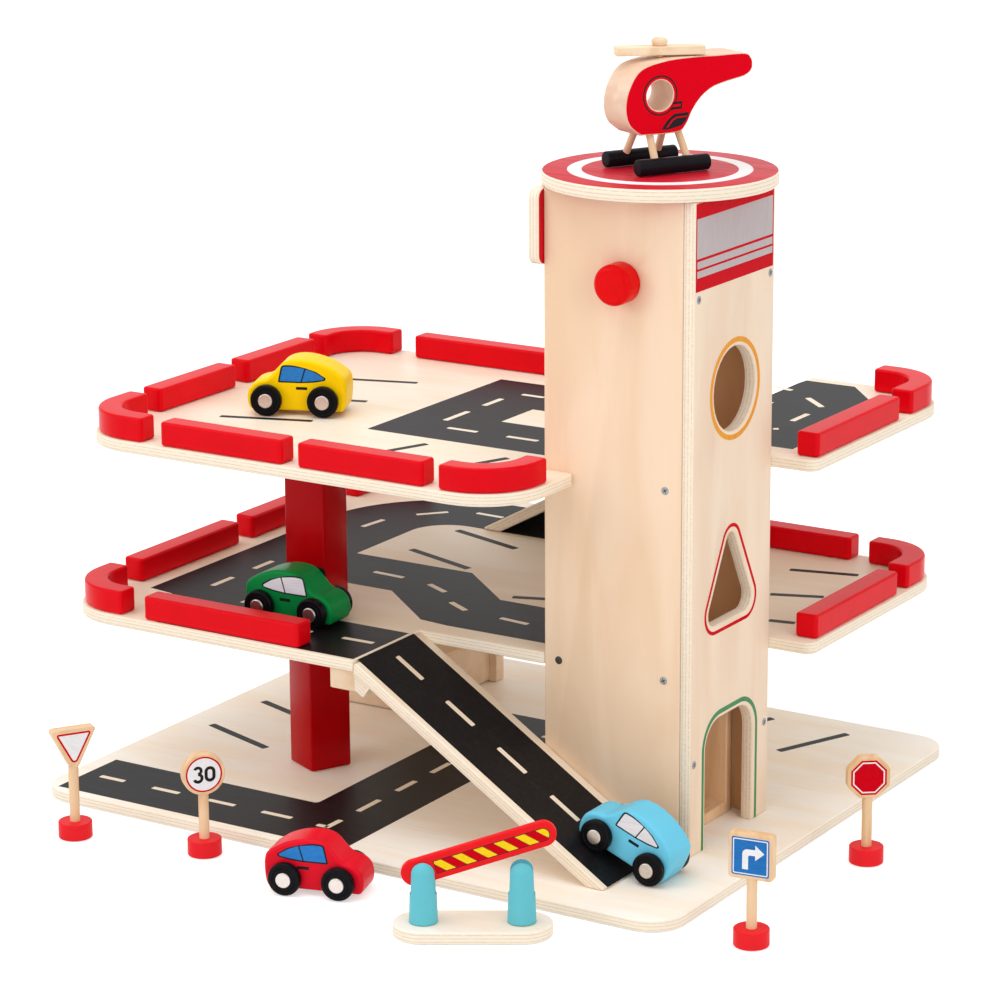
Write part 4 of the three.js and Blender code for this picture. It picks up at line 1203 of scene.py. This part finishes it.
ARM_LENGTH = 115
ARM_TAIL = 16
ARM_HALF = 9.5
ARM_UP = 39
ARM_THICKNESS = 6.5
ARM_TILT = radians(17.8)
pivot = barrier @ at(-POST_SPACING / 2, 0, POST_STAND + ARM_UP)
arm = pivot @ Matrix.Rotation(-ARM_TILT, 4, "Y")
arm_shape = rectangle(-ARM_TAIL, -ARM_HALF, ARM_LENGTH - ARM_TAIL, ARM_HALF, ARM_HALF - 0.1)
arm_slab = slab(arm_shape, ARM_THICKNESS, 1.6)
dress(
    "barrier_arm", "painted", arm_slab, arm @ at(0, ARM_THICKNESS / 2, 0) @ STAND_X,
    paint("arm paint", srgb(236, 28, 34), roughness=0.3), "barrier_arm",
)
FIELD_HALF = 5
FIELD_START = 9
FIELD_END = ARM_LENGTH - ARM_TAIL - 4.6
STRIPE = 7.75
SLANT = 9.5
FIELD_LINE = 0.55


def clipped(polygon, field):
    """A convex polygon cut to a convex counterclockwise field."""
    for a, b in zip(field, field[1:] + field[:1]):
        kept_points = []
        for p, q in zip(polygon, polygon[1:] + polygon[:1]):
            side_p, side_q = cross(b - a, p - a), cross(b - a, q - a)
            if side_p >= 0:
                kept_points.append(p)
            if side_p * side_q < 0:
                kept_points.append(p + (q - p) * side_p / (side_p - side_q))
        polygon = kept_points
        if len(polygon) < 3:
            return []
    return polygon


field = counterclockwise(outline([
    (FIELD_START, -FIELD_HALF), (FIELD_END, -FIELD_HALF, FIELD_HALF - 0.1),
    (FIELD_END, FIELD_HALF, FIELD_HALF - 0.1), (FIELD_START, FIELD_HALF),
]))
inner_field = inset(field, FIELD_LINE)
shells = []
for side in (-1, 1):
    face, lift = beside(arm, side, ARM_THICKNESS / 2)
    shells.append((slab(field, INK), face, 0))
    stripe = 0
    x = FIELD_START - SLANT
    while x < FIELD_END:
        band = [
            Vector((x + SLANT, -FIELD_HALF)), Vector((x + SLANT + STRIPE - FIELD_LINE, -FIELD_HALF)),
            Vector((x + STRIPE - FIELD_LINE, FIELD_HALF)), Vector((x, FIELD_HALF)),
        ]
        cell = clipped(counterclockwise(band), inner_field)
        cell = without_repeats(cell) if cell else []
        if len(cell) > 2:
            shells.append((slab(cell, INK), face @ lift, 1 + stripe % 2))
        stripe += 1
        x += STRIPE
make(
    "barrier_arm_stripes", shells, [black_ink, red_ink, yellow_ink], "barrier_arm",
    smooth=0,
)

# Road signs

FOOT_RADIUS = 13
FOOT_HEIGHT = 12.8
DOWEL_RADIUS = 3.9
PLATE = 8.5
PLATE_EASE = 1
sign_foot = round_bar(FOOT_RADIUS, FOOT_HEIGHT, 0.8)
sign_red = paint("sign foot paint", srgb(236, 36, 44), roughness=0.4)
plate_wood = solid_wood("sign beech", "Z", srgb(238, 204, 164), srgb(222, 180, 134))


def triangle_down(width, height, corner, bottom):
    top = bottom + height
    return outline([(0, bottom, 2 * corner), (width / 2, top, corner), (-width / 2, top, corner)])


def octagon(radius, middle, corner=0.3):
    return outline([
        (radius * cos(a), middle + radius * sin(a), corner)
        for a in [(k + 0.5) / 8 * 2 * pi for k in range(8)]
    ])


OCTAGON_MIDDLE = 51.5 + 17.5 * cos(pi / 8)


def arrow():
    """A plain turning arrow for the square sign."""
    return [
        outline([(-6, 57.5), (-1.6, 57.5), (-1.6, 68.2, 1.5), (4, 68.2), (4, 72.6), (-6, 72.6, 4)]),
        outline([(3.6, 64.6), (10.4, 70.4), (3.6, 76.2)]),
    ]


def bent_bar(middle_x, middle_z, radius, width, start, end, steps=16):
    """A band of the given width along an arc between two angles in degrees."""
    turns = [radians(start + (end - start) * k / steps) for k in range(steps + 1)]
    outer, inner = [
        [Vector((middle_x + reach * cos(a), middle_z + reach * sin(a))) for a in turns]
        for reach in (radius + width / 2, radius - width / 2)
    ]
    return outer + inner[::-1]


def numerals():
    """A plain number thirty, drawn as bent bars."""
    bent = [
        (-4.6, 67.6, 2.5, 2.3, 160, -90), (-4.6, 61.9, 3.0, 2.4, 90, -160),
        (4.6, 66.4, 3, 2.4, 0, 180), (4.6, 62.6, 3, 2.4, 180, 360),
    ]
    straight = [rectangle(x - 1.2, 62.4, x + 1.2, 66.6) for x in (1.6, 7.6)]
    return [bent_bar(*bar) for bar in bent] + straight


triangle_field = triangle_down(29, 27.5, 1.6, 57.2)

# Each sign's turn, the height its dowel reaches, its plate and the prints on its front
SIGNS = {
    "triangle_sign": (57, 56, triangle_down(38, 38, 2.5, 50), [
        (triangle_field, red_ink),
        (inset(counterclockwise(triangle_field), 1.5), white_ink),
    ]),
    "round_sign": (50, 52, circle(0, 64.5, 16.5), [
        (circle(0, 64.5, 14), red_ink),
        (circle(0, 64.5, 12.7), white_ink),
        *[(shape, black_ink) for shape in numerals()],
    ]),
    "square_sign": (8, 54, rectangle(-16.5, 50, 16.5, 84, 2.5), [
        (rectangle(-14, 52.8, 14, 81, 1.5), blue_ink),
        (rectangle(-13, 53.8, 13, 80, 1.2), white_ink),
        (rectangle(-12.2, 54.6, 12.2, 79.2, 0.8), blue_ink),
        *[(shape, white_ink) for shape in arrow()],
    ]),
    "octagon_sign": (38, 54, octagon(17.5, OCTAGON_MIDDLE, 4.4), [
        (octagon(14.6, OCTAGON_MIDDLE), red_ink),
        (octagon(13, OCTAGON_MIDDLE), white_ink),
        (octagon(11.9, OCTAGON_MIDDLE), red_ink),
    ]),
}
for name, (turn, reach, plate, layers) in SIGNS.items():
    centre, floor = plan_centre(name), plan_box(name)[0].z
    place = at(centre.x, centre.y, floor, turn)
    inks = list(dict.fromkeys(material for _, material in layers))
    dowel = round_bar(DOWEL_RADIUS, reach - FOOT_HEIGHT + 2, 0.3, 40)
    shells = [
        (sign_foot, place, 0),
        (dowel, place @ at(0, 0, FOOT_HEIGHT - 1), 1),
        (slab(plate, PLATE, PLATE_EASE), place @ at(0, PLATE / 2, 0) @ STAND_X, 1),
    ]
    for layer, (shape, material) in enumerate(layers):
        front = place @ at(0, -PLATE / 2 - INK_GAP - layer * LAYER, 0) @ STAND_X
        shells.append((slab(shape, INK), front, 2 + inks.index(material)))
    make(f"{name}_painted", shells, [sign_red, plate_wood, *inks], name, [name])

# Floor, backdrop, lights and camera

def light_path_white(tree):
    """A value that is one for rays from the camera, and through glossy or clear surfaces."""
    path = add_node(tree, "ShaderNodeLightPath").outputs
    seen = path["Is Camera Ray"]
    for ray in ("Is Glossy Ray", "Is Transmission Ray"):
        seen = add_node(tree, "ShaderNodeMath", {0: seen, 1: path[ray]}, operation="MAXIMUM")
        seen = seen.outputs[0]
    return seen


FLOOR_HALF = 6
FLOOR_DROP = 0.0005
FLOOR_GREY = 0.86
FLOOR_GLOW = 0.5
floor_mesh = bpy.data.meshes.new("floor")
corners = [(x * FLOOR_HALF, y * FLOOR_HALF, 0) for x, y in ((-1, -1), (1, -1), (1, 1), (-1, 1))]
floor_mesh.from_pydata(corners, [], [(0, 1, 2, 3)])
floor = linked("floor", floor_mesh)
floor.location.z = -FLOOR_DROP
floor_material = bpy.data.materials.new("pale floor")
floor_material.use_nodes = True
tree = floor_material.node_tree
tree.nodes.clear()
diffuse = add_node(tree, "ShaderNodeBsdfDiffuse", {"Color": (*[FLOOR_GREY] * 3, 1)})
lit = add_node(tree, "ShaderNodeMath", {0: light_path_white(tree), 1: FLOOR_GLOW}, operation="MULTIPLY")
glow = add_node(tree, "ShaderNodeEmission", {"Color": (1, 1, 1, 1), "Strength": lit.outputs[0]})
both = add_node(tree, "ShaderNodeAddShader", {0: diffuse.outputs[0], 1: glow.outputs[0]})
add_node(tree, "ShaderNodeOutputMaterial", {"Surface": both.outputs[0]})
floor_mesh.materials.append(floor_material)

WORLD_STRENGTH = 0.78
world = bpy.data.worlds.new("studio")
bpy.context.scene.world = world
world.use_nodes = True
tree = world.node_tree
background = tree.nodes["Background"]
background.inputs["Color"].default_value = (1, 0.99, 0.98, 1)
share = add_node(
    tree, "ShaderNodeMapRange",
    {"Value": light_path_white(tree), "To Min": WORLD_STRENGTH, "To Max": 1},
)
tree.links.new(share.outputs[0], background.inputs["Strength"])


def softbox(name, place, target, width, height, power):
    light = bpy.data.lights.new(name, "AREA")
    light.shape = "RECTANGLE"
    light.size, light.size_y, light.energy = width, height, power
    lamp = linked(name, light)
    lamp.location = place
    lamp.rotation_euler = (Vector(target) - Vector(place)).to_track_quat("-Z", "Y").to_euler()


softbox("overhead", (-0.2, -0.3, 2.6), (0, 0, 0.2), 2.2, 2.2, 24)
softbox("front left", (-1.6, -2.2, 1.4), (0, 0, 0.2), 1.2, 1.2, 12)
softbox("front right", (2.6, -1.2, 1.3), (0, 0, 0.25), 1.2, 1.2, 11.5)

AZIMUTH = radians(32.156)
PITCH = radians(15.115)
ROLL = radians(-0.323)
FOCAL_PIXELS = 3570.21
FRAME_PIXELS = 1000
CAMERA_AT = (1210.1, -2187.8, 951.5)
level = Vector((cos(AZIMUTH), sin(AZIMUTH), 0))
forward = Vector((
    -sin(AZIMUTH) * cos(PITCH), cos(AZIMUTH) * cos(PITCH), -sin(PITCH),
))
upright = level.cross(forward)
right = level * cos(ROLL) + upright * sin(ROLL)
up = -level * sin(ROLL) + upright * cos(ROLL)
camera_data = bpy.data.cameras.new("camera")
camera_data.sensor_width = 36
camera_data.lens = FOCAL_PIXELS * camera_data.sensor_width / FRAME_PIXELS
camera_data.clip_end = 50
camera = linked("camera", camera_data)
camera.matrix_world = facing(PLAN @ Vector(CAMERA_AT), right, up, -forward)
bpy.context.scene.camera = camera
bpy.context.scene.view_settings.view_transform = "Standard"
